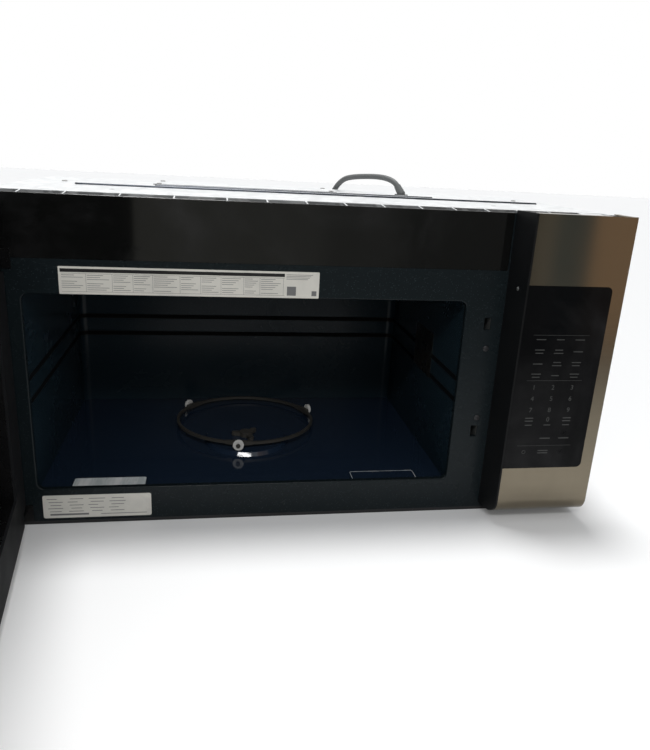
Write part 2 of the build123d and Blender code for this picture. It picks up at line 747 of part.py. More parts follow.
def control_housing():
    """Moulded tray behind the trim: drafted left cheek, wall behind the glass, shelf below."""
    x0 = left_x + panel_x0
    x0_back = left_x + panel_x0_back
    x1 = left_x + front_w - skin - seat_gap
    wall_y = face_y - glass_proud + glass_t
    floor_z = trim_bottom + bullnose_r
    with BuildSketch(Plane((0, 0, trim_bottom))) as plan:
        with BuildLine():
            Polyline((x0 - moulding, face_y), (x0, face_y), (x0, wall_y), (x0_back + moulding, front_y),
                     (x0_back, front_y), close=True)
        make_face()
    cheek = extrude(plan.sketch, trim_top - trim_bottom)
    cheek = cheek & extrude(trim_profile(0, x0_back - 5, front_y), x0 - x0_back + 10)
    tray = block(x0 - 1, x1, wall_y, wall_y + moulding, floor_z, trim_top - skin - seat_gap)
    tray += block(x1 - moulding, x1, wall_y, front_y, floor_z, trim_top - skin - seat_gap)
    with BuildSketch(Plane((0, 0, floor_z))) as shelf:
        with BuildLine():
            Polyline((x0 - 1, wall_y), (x1, wall_y), (x1, front_y), (x0_back + 1, front_y), close=True)
        make_face()
    return cheek + tray + extrude(shelf.sketch, moulding)


def control_board():
    """Circuit board on the back of the tray's face, with its relays and transformer."""
    x0 = left_x + panel_x0 + board_side
    y0 = face_y - glass_proud + glass_t + moulding
    z0 = glass_z0 + board_foot
    y1 = y0 + board_t
    board = block(x0, x0 + board_w, y0, y1, z0, z0 + board_h)
    board += block(x0 + part_x, x0 + part_x + supply_w, y1, y1 + supply_d, z0 + part_z, z0 + part_z + supply_h)
    for i in range(3):
        z = z0 + part_z + relay_pitch * i
        board += block(x0 + relay_x, x0 + relay_x + relay_w, y1, y1 + relay_d, z, z + relay_h)
    return board


# ---------------------------------------------------------------- door, built closed


def door_wedge(x_front, x_back, y0, y1, z0, z1, x0=None):
    """Solid between the door's hinge edge and its drafted right edge."""
    start = left_x + door_edge if x0 is None else x0

    def edge(y):
        share = (y - face_y) / trim_d
        return left_x + x_front + (x_back - x_front) * share

    with BuildSketch(Plane((0, 0, z0))) as plan:
        with BuildLine():
            Polyline((start, y0), (edge(y0), y0), (edge(y1), y1), (start, y1), close=True)
        make_face()
    return extrude(plan.sketch, z1 - z0)


def hinge_pockets():
    """Room in the door for the two hinge arms, at any angle of the door."""
    x = left_x + hinge_x
    y = front_y - hinge_y
    low = block(x - 40, x + hinge_pocket, y - hinge_pocket, front_y + 5, 0, hinge_low_z + 16)
    high = block(x - 40, x + hinge_pocket, y - hinge_pocket, front_y + 5,
                 hinge_high_z + arm_t - hinge_plate_h - 3, hinge_high_z + 14)
    return low + high


def swing_corner():
    """What the door's hinge edge must not fill, so that it turns clear of the frame."""
    hx = left_x + hinge_x
    hy = front_y - hinge_y
    corner = block(hx - 40, hx, hy, front_y + 5, -5, trim_top + 5)
    return corner - rod_z(hx, hy, -6, trim_top + 6, hinge_y - hinge_swing_gap)


def door_skin():
    """Stainless tray: face, rounded bottom, hinge edge and drafted latch edge."""
    back = front_y - door_inner_gap - cover_t - seat_gap
    x0 = left_x + door_edge
    x1 = left_x + door_x1
    full = extrude(trim_profile(0, x0, back), x1 - x0)
    full = full & door_wedge(door_x1, door_x1_back, face_y - 1, front_y, 0, trim_top + 1)
    inner = extrude(trim_profile(skin, x0 + skin, back + 1), x1 - x0 - skin)
    inner = inner & door_wedge(door_x1 - skin, door_x1_back - skin, face_y - 1, front_y, 0, trim_top - skin)
    shell = full - inner
    shell -= rounded_xz(left_x + window_x0 - seat_gap, left_x + window_x1 + seat_gap, glass_z0 - seat_gap,
                        glass_z1 + seat_gap, window_corner, face_y - 5, face_y + 5)
    return shell - hinge_pockets() - swing_corner()


def door_glass():
    y0 = face_y - glass_proud
    return rounded_xz(left_x + window_x0, left_x + window_x1, glass_z0, glass_z1, window_corner - seat_gap,
                      y0, y0 + glass_t)


def door_frame():
    """Steel frame round the window with its choke groove, and the two tabs of the hinges."""
    back = front_y - door_inner_gap - cover_t - seat_gap
    front = back - choke_d
    x0 = left_x + choke_x0
    x1 = left_x + choke_x1
    band = choke_band
    frame = block(x0, x1, front, back, choke_z0, choke_z1)
    frame -= block(x0 + band, x1 - band, front - 1, back + 1, choke_z0 + band, choke_z1 - band)
    groove = block(x0 + 2, x1 - 2, front + 2, back + 1, choke_z0 + 2, choke_z1 - 2)
    groove -= block(x0 + band - 2, x1 - band + 2, front, back + 2, choke_z0 + band - 2, choke_z1 - band + 2)
    frame -= groove
    hx = left_x + hinge_x
    hy = front_y - hinge_y
    for z in (hinge_low_z + arm_t + bush_t, hinge_high_z - bush_t - tab_t):
        tab = block(hx, x0 + 14, hy - 8, hy + 8, z, z + tab_t)
        tab += rod_z(hx, hy, z, z + tab_t, 8)
        frame += tab
        rise = (z, choke_z0 + 8) if z < choke_z0 else (choke_z1 - 8, z + tab_t)
        frame += block(x0, x0 + 14, hy - 8, hy + 8, rise[0], rise[1])
        frame -= rod_z(hx, hy, z - 1, z + tab_t + 1, pin_r + run_gap + bush_wall)
    return frame


def hinge_bushes():
    """Flanged nylon bushes in the two hinge tabs; their flanges are the bearing faces."""
    hx = left_x + hinge_x
    hy = front_y - hinge_y
    low_tab = hinge_low_z + arm_t + bush_t
    high_tab = hinge_high_z - bush_t - tab_t
    bushes = []
    for tab_z, flange_z in ((low_tab, low_tab - bush_t + floor_gap), (high_tab, high_tab + tab_t)):
        bush = rod_z(hx, hy, tab_z, tab_z + tab_t, pin_r + run_gap + bush_wall)
        bush += rod_z(hx, hy, flange_z, flange_z + bush_t - floor_gap, arm_r - 1)
        bushes.append(bush - rod_z(hx, hy, tab_z - 10, tab_z + 12, pin_r + run_gap))
    return Compound(children=bushes)


def door_screen():
    """Perforated steel sheet behind the window."""
    front = front_y - door_inner_gap - cover_t - seat_gap - choke_d
    return block(left_x + choke_x0 + choke_band - 8, left_x + choke_x1 - choke_band + 8, front - screen_t, front,
                 choke_z0 + choke_band - 8, choke_z1 - choke_band + 8)


def door_inner_cover():
    """Moulded inner face with its window opening, hook slots and rounded hinge corner."""
    y1 = front_y - door_inner_gap
    y0 = y1 - cover_t
    cover = door_wedge(door_x1 - skin - 1, door_x1_back - skin - 1, y0, y1, trim_bottom + 1, trim_top - 3,
                       x0=left_x + door_edge + 0.5)
    cover -= rounded_xz(left_x + choke_x0 + choke_band, left_x + choke_x1 - choke_band, choke_z0 + choke_band,
                        choke_z1 - choke_band, 6, y0 - 5, y1 + 5)
    for z in hook_zs:
        cover -= block(left_x + hook_x - hook_t / 2 - 1, left_x + hook_x + hook_t / 2 + 1, y0 - 5, y1 + 5,
                       z - hook_h / 2 - 1, z + hook_h / 2 + latch_lift + 1)
    stop_z = hook_zs[-1] + latch_bar_end + spring_h
    cover += block(left_x + hook_x - 5, left_x + hook_x + 5, y0 - 2 * spring_r - 1, y0, stop_z, stop_z + 2.5)
    return cover - hinge_pockets() - swing_corner()


def door_window_pane():
    """Inner pane behind the choke opening."""
    front = front_y - door_inner_gap - cover_t - seat_gap - choke_d
    inset = choke_band + seat_gap
    return block(left_x + choke_x0 + inset, left_x + choke_x1 - inset, front, front + 2,
                 choke_z0 + inset, choke_z1 - inset)


def door_handle():
    """Oval grip bar with closed rounded ends."""
    y = face_y - handle_off
    bar = Pos(left_x + handle_x, y, handle_z0) * extrude(Ellipse(handle_rx, handle_ry), handle_z1 - handle_z0)
    return fillet(bar.edges().filter_by(GeomType.ELLIPSE), 3)


def handle_posts():
    """Two turned posts between the door's face and the grip."""
    posts = []
    for z in (handle_z0 + post_inset, handle_z1 - post_inset):
        post = rod_y(left_x + handle_x, face_y - handle_off + handle_ry - 1, face_y, z, post_r)
        posts.append(post - door_handle())
    return Compound(children=posts)


def latch_hooks():
    """Flat bar with two hooks that reach through the inner cover."""
    bar_y1 = front_y - door_inner_gap - cover_t - seat_gap
    bar_y0 = bar_y1 - latch_bar_t
    x = left_x + hook_x
    low = hook_zs[0] - latch_bar_end
    high = hook_zs[-1] + latch_bar_end
    hooks = block(x - latch_bar_w / 2, x + latch_bar_w / 2, bar_y0, bar_y1 - seat_gap, low, high)
    tip = front_y - door_inner_gap + hook_reach
    for z in hook_zs:
        with BuildSketch(Plane((x - hook_t / 2, 0, 0), x_dir=(0, 1, 0), z_dir=(1, 0, 0))) as side:
            with BuildLine():
                Polyline((bar_y0, z - hook_h / 2 + 3), (tip - 9, z - hook_h / 2 + 3), (tip - 9, z - hook_h / 2),
                         (tip - 3, z - hook_h / 2), (tip, z), (tip - 3, z + hook_h / 2),
                         (bar_y0, z + hook_h / 2), close=True)
            make_face()
        hooks += extrude(side.sketch, hook_t)
    return hooks


def latch_spring():
    """Return spring between the latch bar and the cover's stop, as a sleeve of its outer size."""
    z0 = hook_zs[-1] + latch_bar_end
    return rod_z(left_x + hook_x, front_y - door_inner_gap - cover_t - seat_gap - spring_r, z0, z0 + spring_h,
                 spring_r)


# ---------------------------------------------------------------- hinges and latch board


def hinge_bracket(low):
    """Plate on the frame with a forward arm and an upright pin."""
    hx = left_x + hinge_x
    hy = front_y - hinge_y
    z0 = hinge_low_z if low else hinge_high_z
    pin_l = arm_t + bush_t + tab_t + 4
    plate_z0 = base_lip_h + 1 if low else z0 + arm_t - hinge_plate_h
    plate_z1 = plate_z0 + hinge_plate_h if low else z0 + arm_t
    pin_z0 = z0 if low else z0 + arm_t - pin_l
    bracket = block(hx - arm_r, hx + arm_r, hy, front_y, z0, z0 + arm_t)
    bracket += rod_z(hx, hy, z0, z0 + arm_t, arm_r)
    bracket += block(hx - arm_r, hx - arm_r + hinge_plate_w, front_y - hinge_plate_t, front_y, plate_z0, plate_z1)
    return bracket + rod_z(hx, hy, pin_z0, pin_z0 + pin_l, pin_r)


def interlock_bracket():
    """Moulded board behind the latch slots that carries the three switches."""
    y0 = front_y + frame_t
    y1 = y0 + switch_off
    y2 = y1 + switch_d
    x0 = left_x + hook_x - slot_w
    x1 = left_x + hook_x + switch_w / 2
    z0 = min(switch_zs) - switch_h / 2 - board_over
    z1 = max(switch_zs) + switch_h / 2 + board_over
    board = block(x1, x1 + moulding, y0, y2, z0, z1)
    board += block(x0, x1 + moulding, y2, y2 + moulding, z0, z1)
    for z in (z0, z1 - foot_h):
        board += block(x1, x1 + foot_w, y0, y0 + moulding, z, z + foot_h)
    return board


def interlock_switches():
    """Three small switches, each with a bore for its plunger and three terminals."""
    y1 = front_y + frame_t + switch_off
    x = left_x + hook_x
    switches = []
    for z in switch_zs:
        case = block(x - switch_w / 2, x + switch_w / 2, y1, y1 + switch_d, z - switch_h / 2, z + switch_h / 2)
        case -= rod_y(x, y1 - 1, y1 + plunger_in + plunger_travel + 0.5, z, plunger_r + plunger_gap)
        for k in (-1, 0, 1):
            tag_z = z + k * terminal_pitch
            case += block(x - switch_w / 2 - terminal_l, x - switch_w / 2, y1 + switch_d * 0.6,
                          y1 + switch_d * 0.8, tag_z - 0.4, tag_z + 0.4)
        switches.append(case)
    return Compound(children=switches)


def switch_plunger(z):
    y1 = front_y + frame_t + switch_off
    return rod_y(left_x + hook_x, y1 - plunger_out, y1 + plunger_in, z, plunger_r)


# ---------------------------------------------------------------- component bay


def hv_transformer():
    """Laminated core with its winding, on two feet."""
    x = left_x + transformer_x
    y = front_y + transformer_y
    w = transformer_w / 2
    d = transformer_d / 2
    z0 = base_t
    core = block(x - w, x + w, y - d + 16, y + d - 16, z0, z0 + transformer_h)
    coil_z = (z0 + 14, z0 + transformer_h - 14)
    core += block(x - w + 16, x + w - 16, y - d, y + d, coil_z[0], coil_z[1])
    core += block(x - w, x + w, y - d + 6, y + d - 6, z0, z0 + 3)
    return core


def hv_capacitor():
    """Oval can with two terminals."""
    x = left_x + capacitor_x
    y = front_y + capacitor_y
    can = Pos(x, y, base_t) * extrude(SlotCenterToCenter(capacitor_span, 2 * capacitor_r), capacitor_h)
    for side in (-1, 1):
        can += block(x + side * 9 - 3, x + side * 9 + 3, y - 0.4, y + 0.4,
                     base_t + capacitor_h, base_t + capacitor_h + 10)
    return can


def noise_filter():
    """Mains filter board standing on the bay side of the cavity, with choke and fuse."""
    x0 = cavity_x1 + cavity_wall
    x1 = x0 + noise_post + board_t
    y0 = front_y + noise_y
    board = block(x0 + noise_post, x1, y0, y0 + noise_l, noise_z, noise_z + noise_h)
    for y in (y0 + noise_post, y0 + noise_l - noise_post):
        for z in (noise_z + noise_post, noise_z + noise_h - noise_post):
            board += rod_x(x0, x0 + noise_post, y, z, noise_post * 0.4)
    board += rod_x(x1, x1 + noise_choke_l, y0 + noise_l / 3, noise_z + noise_h * 0.54, noise_choke_r)
    return board + block(x1, x1 + noise_fuse_l, y0 + noise_l * 0.64, y0 + noise_l * 0.9,
                         noise_z + noise_h * 0.23, noise_z + noise_h * 0.63)


def cavity_lamp():
    """Small housing of the oven lamp on the cavity's right wall."""
    x0 = cavity_x1 + cavity_wall
    y = front_y + lamp_y
    housing = block(x0, x0 + lamp_l, y - lamp_w / 2, y + lamp_w / 2, lamp_z - lamp_h / 2, lamp_z + lamp_h / 2)
    return housing - block(x0 - 1, x0 + lamp_l - lamp_wall, y - lamp_w / 2 + lamp_wall, y + lamp_w / 2 - lamp_wall,
                           lamp_z - lamp_h / 2 + lamp_wall, lamp_z + lamp_h / 2 - lamp_wall)


def lamp_bulb():
    x1 = cavity_x1 + cavity_wall + lamp_l - lamp_wall
    bulb = rod_x(x1 - bulb_l, x1, front_y + lamp_y, lamp_z, bulb_r)
    return chamfer(bulb.faces().sort_by(Axis.X)[0].edges(), bulb_r / 3)


def fan_shroud():
    """Square plate with the fan's round opening and the bridge that holds the motor."""
    x = left_x + fan_x
    y0 = front_y + fan_y - fan_depth
    half = fan_box / 2
    plate = block(x - half, x + half, y0, y0 + 2, base_t, fan_z + half)
    plate -= rod_y(x, y0 - 1, y0 + 3, fan_z, fan_r + 3)
    for side in (-1, 1):
        arm_x = x + side * (half - fan_arm_t / 2)
        plate += block(arm_x - fan_arm_t / 2, arm_x + fan_arm_t / 2, y0 + 2, back_y - sheet,
                       fan_z - fan_arm_h / 2, fan_z + fan_arm_h / 2)
    return plate


def fan_motor():
    """Shaded-pole motor on the shroud's bridge, with the bore of its shaft."""
    x = left_x + fan_x
    y1 = back_y - sheet
    y0 = front_y + fan_y - 4
    motor = block(x - 24, x + 24, y0 + 6, y1, fan_z - 28, fan_z + 28)
    reach = fan_box / 2 - fan_arm_t
    motor += block(x - reach, x + reach, y1 - 5, y1, fan_z - fan_arm_h / 2, fan_z + fan_arm_h / 2)
    return motor - rod_y(x, y0 - 1, y1 - 10, fan_z, blower_shaft_r + run_gap)


def cooling_fan():
    """Hub with pitched blades on its own shaft."""
    x = left_x + fan_x
    y1 = front_y + fan_y - 3
    y0 = y1 - fan_depth + 6
    hub = rod_y(x, y0, y1, fan_z, fan_hub_r)
    hub += rod_y(x, y1 - 1, back_y - sheet - 12, fan_z, blower_shaft_r)
    for i in range(fan_blades):
        blade = Pos(0, 0, (fan_hub_r + fan_r) / 2 - 1) * Rot(0, 0, 32) * Box(22, 1.4, fan_r - fan_hub_r + 2)
        hub += Pos(x, (y0 + y1) / 2, fan_z) * Rot(0, 360 / fan_blades * i, 0) * blade
    return hub


# ---------------------------------------------------------------- hood blower


def scroll_outline(inset, x):
    """Side view of the blower housing: round about the wheel, straight towards the front."""
    r = blower_r + blower_gap - inset
    y = front_y + blower_y
    plane = Plane((x, 0, 0), x_dir=(0, 1, 0), z_dir=(1, 0, 0))
    with BuildSketch(plane) as side:
        with Locations((y, blower_z)):
            Circle(r)
        top = blower_z + r
        with BuildLine():
            Polyline((y, top), (front_y + outlet_y - (1 if inset else 0), top),
                     (front_y + outlet_y - (1 if inset else 0), top - outlet_h + 2 * inset),
                     (y - 8, top - outlet_h + 2 * inset), (y, blower_z), close=True)
        make_face()
    return side.sketch


def blower_housing():
    """Double scroll with an inlet in each end plate and room for the motor between."""
    total = 2 * blower_wheel_w + blower_motor_w + 4 * blower_gap
    x0 = left_x + blower_x - total / 2
    case = extrude(scroll_outline(0, x0), total)
    case -= extrude(scroll_outline(scroll_t, x0 + scroll_t), total - 2 * scroll_t)
    case -= rod_x(x0 - 5, x0 + total + 5, front_y + blower_y, blower_z, inlet_r)
    top = blower_z + blower_r + blower_gap
    for side in (-1, 1):
        x = left_x + blower_x + side * (total / 2 - 10)
        case += block(x - 8, x + 8, front_y + blower_y - 20, front_y + blower_y + 20, top - scroll_t, cab_h - sheet)
        case += block(x - 8, x + 8, front_y + blower_y - 10, front_y + blower_y + 10,
                      cavity_ceiling_z + cavity_wall, blower_z - blower_r - blower_gap + scroll_t)
    return case


def blower_motor():
    """Motor can between the two wheels, held by a strap to the housing."""
    x = left_x + blower_x
    y = front_y + blower_y
    w = blower_motor_w / 2
    can = rod_x(x - w, x + w, y, blower_z, blower_motor_r)
    strap = block(x - 8, x + 8, y - 6, y + 6, blower_z - blower_r - blower_gap, blower_z)
    can += strap & rod_x(x - 9, x + 9, y, blower_z, blower_r + blower_gap - scroll_t)
    return can - rod_x(x - w - 1, x + w + 1, y, blower_z, blower_shaft_r + run_gap)


def blower_rotor():
    """Shaft with a squirrel-cage wheel at each end."""
    x = left_x + blower_x
    y = front_y + blower_y
    start = blower_motor_w / 2 + blower_gap
    shaft_end = start + blower_wheel_w * 0.3
    rotor = rod_x(x - shaft_end, x + shaft_end, y, blower_z, blower_shaft_r)
    for side in (-1, 1):
        near = x + side * start
        far = x + side * (start + blower_wheel_w)
        disc = rod_x(min(near, near + side * 2), max(near, near + side * 2), y, blower_z, blower_r)
        rim = rod_x(min(far, far - side * 4), max(far, far - side * 4), y, blower_z, blower_r)
        rim -= rod_x(min(far, far - side * 4) - 1, max(far, far - side * 4) + 1, y, blower_z,
                     blower_r - blower_blade_d)
        rotor += disc
        rotor += rod_x(min(near, near + side * 12), max(near, near + side * 12), y, blower_z, 8)
        rotor += rim
        lo = min(near, far) + 1
        hi = max(near, far) - 1
        for i in range(blower_blades):
            blade = Pos((lo + hi) / 2, 0, blower_r - blower_blade_d / 2 - 0.4)
            blade *= Rot(35, 0, 0) * Box(hi - lo, blower_blade_t, blower_blade_d)
            rotor += Pos(0, y, blower_z) * Rot(360 / blower_blades * i, 0, 0) * blade
    return rotor


def charcoal_filter():
    """Framed charcoal pad standing between the cavity's ceiling and the top sheet."""
    y0 = front_y + charcoal_y
    z0 = cavity_ceiling_z + cavity_wall
    z1 = cab_h - sheet - 1
    x0 = left_x + charcoal_x0
    x1 = left_x + charcoal_x1
    pad = block(x0, x1, y0, y0 + charcoal_t, z0, z1)
    for y in (y0 - 1, y0 + charcoal_t - 2):
        pad -= block(x0 + 8, x1 - 8, y, y + 3, z0 + 8, z1 - 8)
    return pad


def exhaust_plate():
    """Blanking plate over the upper exhaust opening."""
    x = left_x + blower_x
    y = front_y + exhaust_y
    return block(x - exhaust_plate_w / 2, x + exhaust_plate_w / 2, y - exhaust_plate_l / 2,
                 y + exhaust_plate_l / 2, cab_h, cab_h + sheet)


def pan_screws():
    """Pan heads on the top sheet, on the blanking plate and beside the latch slots."""
    heads = []
    y = front_y + exhaust_y
    z = cab_h + sheet
    for dx in (-1, 1):
        for dy in (-1, 1):
            x = left_x + blower_x + dx * (exhaust_plate_w / 2 - 8)
            heads.append(rod_z(x, y + dy * (exhaust_plate_l / 2 - 6), z, z + screw_h, screw_r))
    for x in top_screw_xs:
        heads.append(rod_z(left_x + x, front_y + top_screw_y, cab_h, cab_h + screw_h, screw_r))
    for z in frame_screw_zs:
        heads.append(rod_y(left_x + hook_x + 2, front_y - screw_h, front_y, z, screw_r))
    return Compound(children=heads)


# ---------------------------------------------------------------- cord

# Bends of the free run past the straight start, from the sleeve's foot, the back plate, and
# the top sheet for the upper ones or the underside for the lower ones.
cord_over = ((-60.0, -24.0, 23.9), (-79.0, 4.0, 14.8), (-93.0, 32.0, -24.7), (-97.0, 36.0, -85.5))
cord_down = ((-97.0, 35.0, 256.0), (-96.0, 32.0, 184.0), (-94.0, 31.0, 114.0), (-97.0, 29.0, 68.0),
             (-109.0, 26.0, 31.0), (-135.0, 22.0, 6.0), (-173.0, 20.0, 4.5))


def relief_direction():
    heading = math.radians(relief_heading)
    tilt = math.radians(relief_tilt)
    return Vector(math.cos(heading) * math.cos(tilt), math.sin(heading) * math.cos(tilt), math.sin(tilt))


def relief_foot():
    return Vector(left_x + relief_x, front_y + relief_y, cab_h + 3)


def strain_relief():
    """Bushing in the top sheet and the tapered sleeve along the cord."""
    foot = relief_foot()
    sleeve = Plane(foot, z_dir=relief_direction()) * Pos(0, 0, relief_l / 2)
    sleeve *= Cone(cord_r + relief_wall, cord_r + relief_wall / 2, relief_l)
    sleeve += Pos(*foot) * Sphere(cord_r + relief_wall)
    sleeve -= block(foot.X - 60, foot.X + 60, foot.Y - 60, foot.Y + 60, cab_h - 40, cab_h)
    flange = rod_z(foot.X, foot.Y, cab_h, cab_h + 2, cord_r + 6)
    stem = rod_z(foot.X, foot.Y, cab_h - sheet - 3, cab_h, cord_r + 3 - seat_gap)
    return sleeve + flange + stem


def cord_points():
    """Out of the sleeve, over the rear edge, down to the floor and up to the coil."""
    foot = relief_foot()
    direction = relief_direction()
    points = [foot + direction * relief_l, foot + direction * (relief_l + relief_run)]
    points += [Vector(foot.X + x, back_y + y, cab_h + z) for x, y, z in cord_over]
    return points + [Vector(foot.X + x, back_y + y, z) for x, y, z in cord_down]


def corner_radii(points):
    """Each bend takes 0.45 of its shorter run."""
    radii = []
    for before, at, after in zip(points, points[1:], points[2:]):
        run = min((at - before).length, (after - at).length)
        turn = math.radians((at - before).get_angle(after - at))
        radii.append(0.45 * run / math.tan(turn / 2))
    return radii


def power_cord():
    points = cord_points()
    path = FilletPolyline(points, radius=corner_radii(points))
    section = Plane(points[0], z_dir=relief_direction()) * Circle(cord_r)
    return sweep(section, path=path)


def coil_centre():
    end = cord_points()[-1]
    return Vector(end.X, end.Y + coil_turn_r, 0)


def cord_coil():
    """Outer shape of the coiled length: a flat ring with the straight end that leads to the plug."""
    centre = coil_centre()
    top = 2 * cord_r * coil_layers
    ring = rod_z(centre.X, centre.Y, 0, top, coil_turn_r + cord_r)
    ring -= rod_z(centre.X, centre.Y, -1, top + 1, coil_turn_r - cord_r)
    return ring + rod_y(centre.X - coil_turn_r, centre.Y, centre.Y + coil_end_l, cord_r, cord_r)


def plug():
    """Moulded plug with two blades and an earth pin, at the coil's end."""
    x = coil_centre().X - coil_turn_r
    y = coil_centre().Y + coil_end_l
    body = rounded_xy(x - plug_w / 2, x + plug_w / 2, y, y + plug_l, 4, 0, plug_h)
    for side in (-1, 1):
        body += block(x + side * 6.35 - 0.8, x + side * 6.35 + 0.8, y + plug_l, y + plug_l + 16,
                      plug_h / 2 + 1, plug_h / 2 + 7)
    return body + rod_y(x, y + plug_l, y + plug_l + 18, plug_h / 2 - 4, 2.4)


# ---------------------------------------------------------------- assembly

wheel_names = ("ring_wheel_front", "ring_wheel_right", "ring_wheel_left")
plunger_names = ("switch_plunger_lower", "switch_plunger_middle", "switch_plunger_upper")


def cabinet_nodes():
    yield "cabinet_wrap", cabinet_wrap()
    yield "back_plate", back_plate()
    yield "base_plate", base_plate()
    yield "grease_filter_left", grease_filter(left_x + filter_left_x)
    yield "grease_filter_right", grease_filter(left_x + filter_right_x)
    yield "cooktop_lenses", cooktop_lenses()
    yield "cooktop_lamps", cooktop_lamps()
    yield "front_frame", front_frame()
    yield "vent_panel", vent_panel()
    yield "outlet_grille", outlet_grille()
    yield "exhaust_plate", exhaust_plate()
    yield "pan_screws", pan_screws()


def oven_nodes():
    yield "cavity_shell", cavity_shell()
    yield "cavity_floor", cavity_floor()
    yield "waveguide", waveguide()
    yield "waveguide_cover", waveguide_cover()
    yield "magnetron", magnetron()
    yield "turntable_motor", turntable_motor()
    yield "turntable_coupler", turntable_coupler()
    yield "roller_ring", roller_ring()
    for name, angle in zip(wheel_names, wheel_angles):
        yield name, ring_wheel(angle)


def panel_nodes():
    yield "control_trim", control_trim()
    yield "control_glass", control_glass()
    yield "control_housing", control_housing()
    yield "control_board", control_board()


def door_nodes():
    yield "door_skin", door_skin()
    yield "door_glass", door_glass()
    yield "door_frame", door_frame()
    yield "hinge_bushes", hinge_bushes()
    yield "door_screen", door_screen()
    yield "door_inner_cover", door_inner_cover()
    yield "door_window_pane", door_window_pane()
    yield "door_handle", door_handle()
    yield "handle_posts", handle_posts()
    yield "latch_hooks", latch_hooks()
    yield "latch_spring", latch_spring()


def bay_nodes():
    yield "hinge_brackets", Compound(children=[hinge_bracket(True), hinge_bracket(False)])
    yield "interlock_bracket", interlock_bracket()
    yield "interlock_switches", interlock_switches()
    for name, z in zip(plunger_names, switch_zs):
        yield name, switch_plunger(z)
    yield "hv_transformer", hv_transformer()
    yield "hv_capacitor", hv_capacitor()
    yield "noise_filter", noise_filter()
    yield "cavity_lamp_housing", cavity_lamp()
    yield "cavity_lamp_bulb", lamp_bulb()
    yield "fan_shroud", fan_shroud()
    yield "fan_motor", fan_motor()
    yield "cooling_fan", cooling_fan()


def hood_nodes():
    yield "blower_housing", blower_housing()
    yield "blower_motor", blower_motor()
    yield "blower_rotor", blower_rotor()
    yield "charcoal_filter", charcoal_filter()


def cord_nodes():
    yield "strain_relief", strain_relief()
    yield "power_cord", power_cord()
    yield "cord_coil", cord_coil()
    yield "plug", plug()


os.makedirs("parts", exist_ok=True)
for group in (cabinet_nodes, oven_nodes, panel_nodes, door_nodes, bay_nodes, hood_nodes, cord_nodes):
    for name, shape in group():
        if group is door_nodes:
            shape = shape.rotate(hinge_axis, -door_open)
        export_step(shape, "parts/" + name + ".step")
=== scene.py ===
import bmesh
import bpy
import math
from mathutils import Matrix, Vector


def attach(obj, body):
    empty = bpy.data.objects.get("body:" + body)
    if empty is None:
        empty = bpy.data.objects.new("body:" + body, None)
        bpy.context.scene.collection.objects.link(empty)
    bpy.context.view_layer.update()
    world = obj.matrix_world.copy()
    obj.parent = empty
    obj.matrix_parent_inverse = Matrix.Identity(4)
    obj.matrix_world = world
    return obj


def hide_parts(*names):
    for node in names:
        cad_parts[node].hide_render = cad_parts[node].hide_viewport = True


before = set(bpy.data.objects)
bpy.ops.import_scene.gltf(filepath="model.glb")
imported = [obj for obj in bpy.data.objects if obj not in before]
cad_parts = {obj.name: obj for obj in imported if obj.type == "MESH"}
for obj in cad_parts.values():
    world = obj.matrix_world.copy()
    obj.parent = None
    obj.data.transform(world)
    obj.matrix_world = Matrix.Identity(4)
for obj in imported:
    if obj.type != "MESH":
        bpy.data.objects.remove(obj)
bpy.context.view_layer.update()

# Places are given as on the drawing: millimetres from the left end of the front,
# from the front frame towards the wall, and from the underside.
FRONT_WIDTH = 759.0
CABINET_DEPTH = 358.0
TRIM_DEPTH = 42.0
CORD_RADIUS = 4.25
TOP_SHEET_Z = 411.5
DOOR_SWING = math.radians(83.0)


def at(x, y, z):
    """A drawing place, in millimetres, as a point of the model in metres."""
    return Vector(((x - FRONT_WIDTH / 2) / 1000, (y - CABINET_DEPTH / 2) / 1000, z / 1000))


# ------------------------------------------------------------------ camera

CAMERA_PLACE = at(251.3, -798.75, 462.94)
CAMERA_TILT = -0.313741
CAMERA_ROLL = -0.054209
CAMERA_HEADING = -0.175760
FOCAL_PIXELS = 671.35
PHOTO_WIDTH = 650


def stand_camera():
    data = bpy.data.cameras.new("photo_camera")
    data.sensor_fit = "HORIZONTAL"
    data.sensor_width = 36.0
    data.lens = FOCAL_PIXELS * data.sensor_width / PHOTO_WIDTH
    data.clip_start = 0.02
    camera = bpy.data.objects.new("photo_camera", data)
    turn = Matrix.Rotation(CAMERA_HEADING, 4, "Z") @ Matrix.Rotation(CAMERA_TILT, 4, "X")
    turn = turn @ Matrix.Rotation(CAMERA_ROLL, 4, "Y") @ Matrix.Rotation(math.pi / 2, 4, "X")
    camera.matrix_world = Matrix.Translation(CAMERA_PLACE) @ turn
    bpy.context.scene.collection.objects.link(camera)
    bpy.context.scene.camera = camera


# ------------------------------------------------------------------ node helpers


def add(tree, kind, feeds=None, **settings):
    """One node, with its settings, and its inputs set or linked by name or number."""
    made = tree.nodes.new(kind)
    for name, value in settings.items():
        setattr(made, name, value)
    for name, value in (feeds or {}).items():
        if isinstance(value, bpy.types.NodeSocket):
            tree.links.new(value, made.inputs[name])
        else:
            made.inputs[name].default_value = value
    return made


def maths(tree, operation, a, b=0.0, clamp=False):
    return add(tree, "ShaderNodeMath", {0: a, 1: b}, operation=operation, use_clamp=clamp).outputs[0]


def remap(tree, value, low, high, to_low, to_high):
    feeds = {"Value": value, "From Min": low, "From Max": high, "To Min": to_low, "To Max": to_high}
    return add(tree, "ShaderNodeMapRange", feeds).outputs[0]


def noise(tree, point, scale, detail):
    return add(tree, "ShaderNodeTexNoise", {"Vector": point, "Scale": scale, "Detail": detail}).outputs[0]


def blend_colours(tree, factor, first, second):
    return add(tree, "ShaderNodeMix", {0: factor, 6: first, 7: second}, data_type="RGBA").outputs[2]


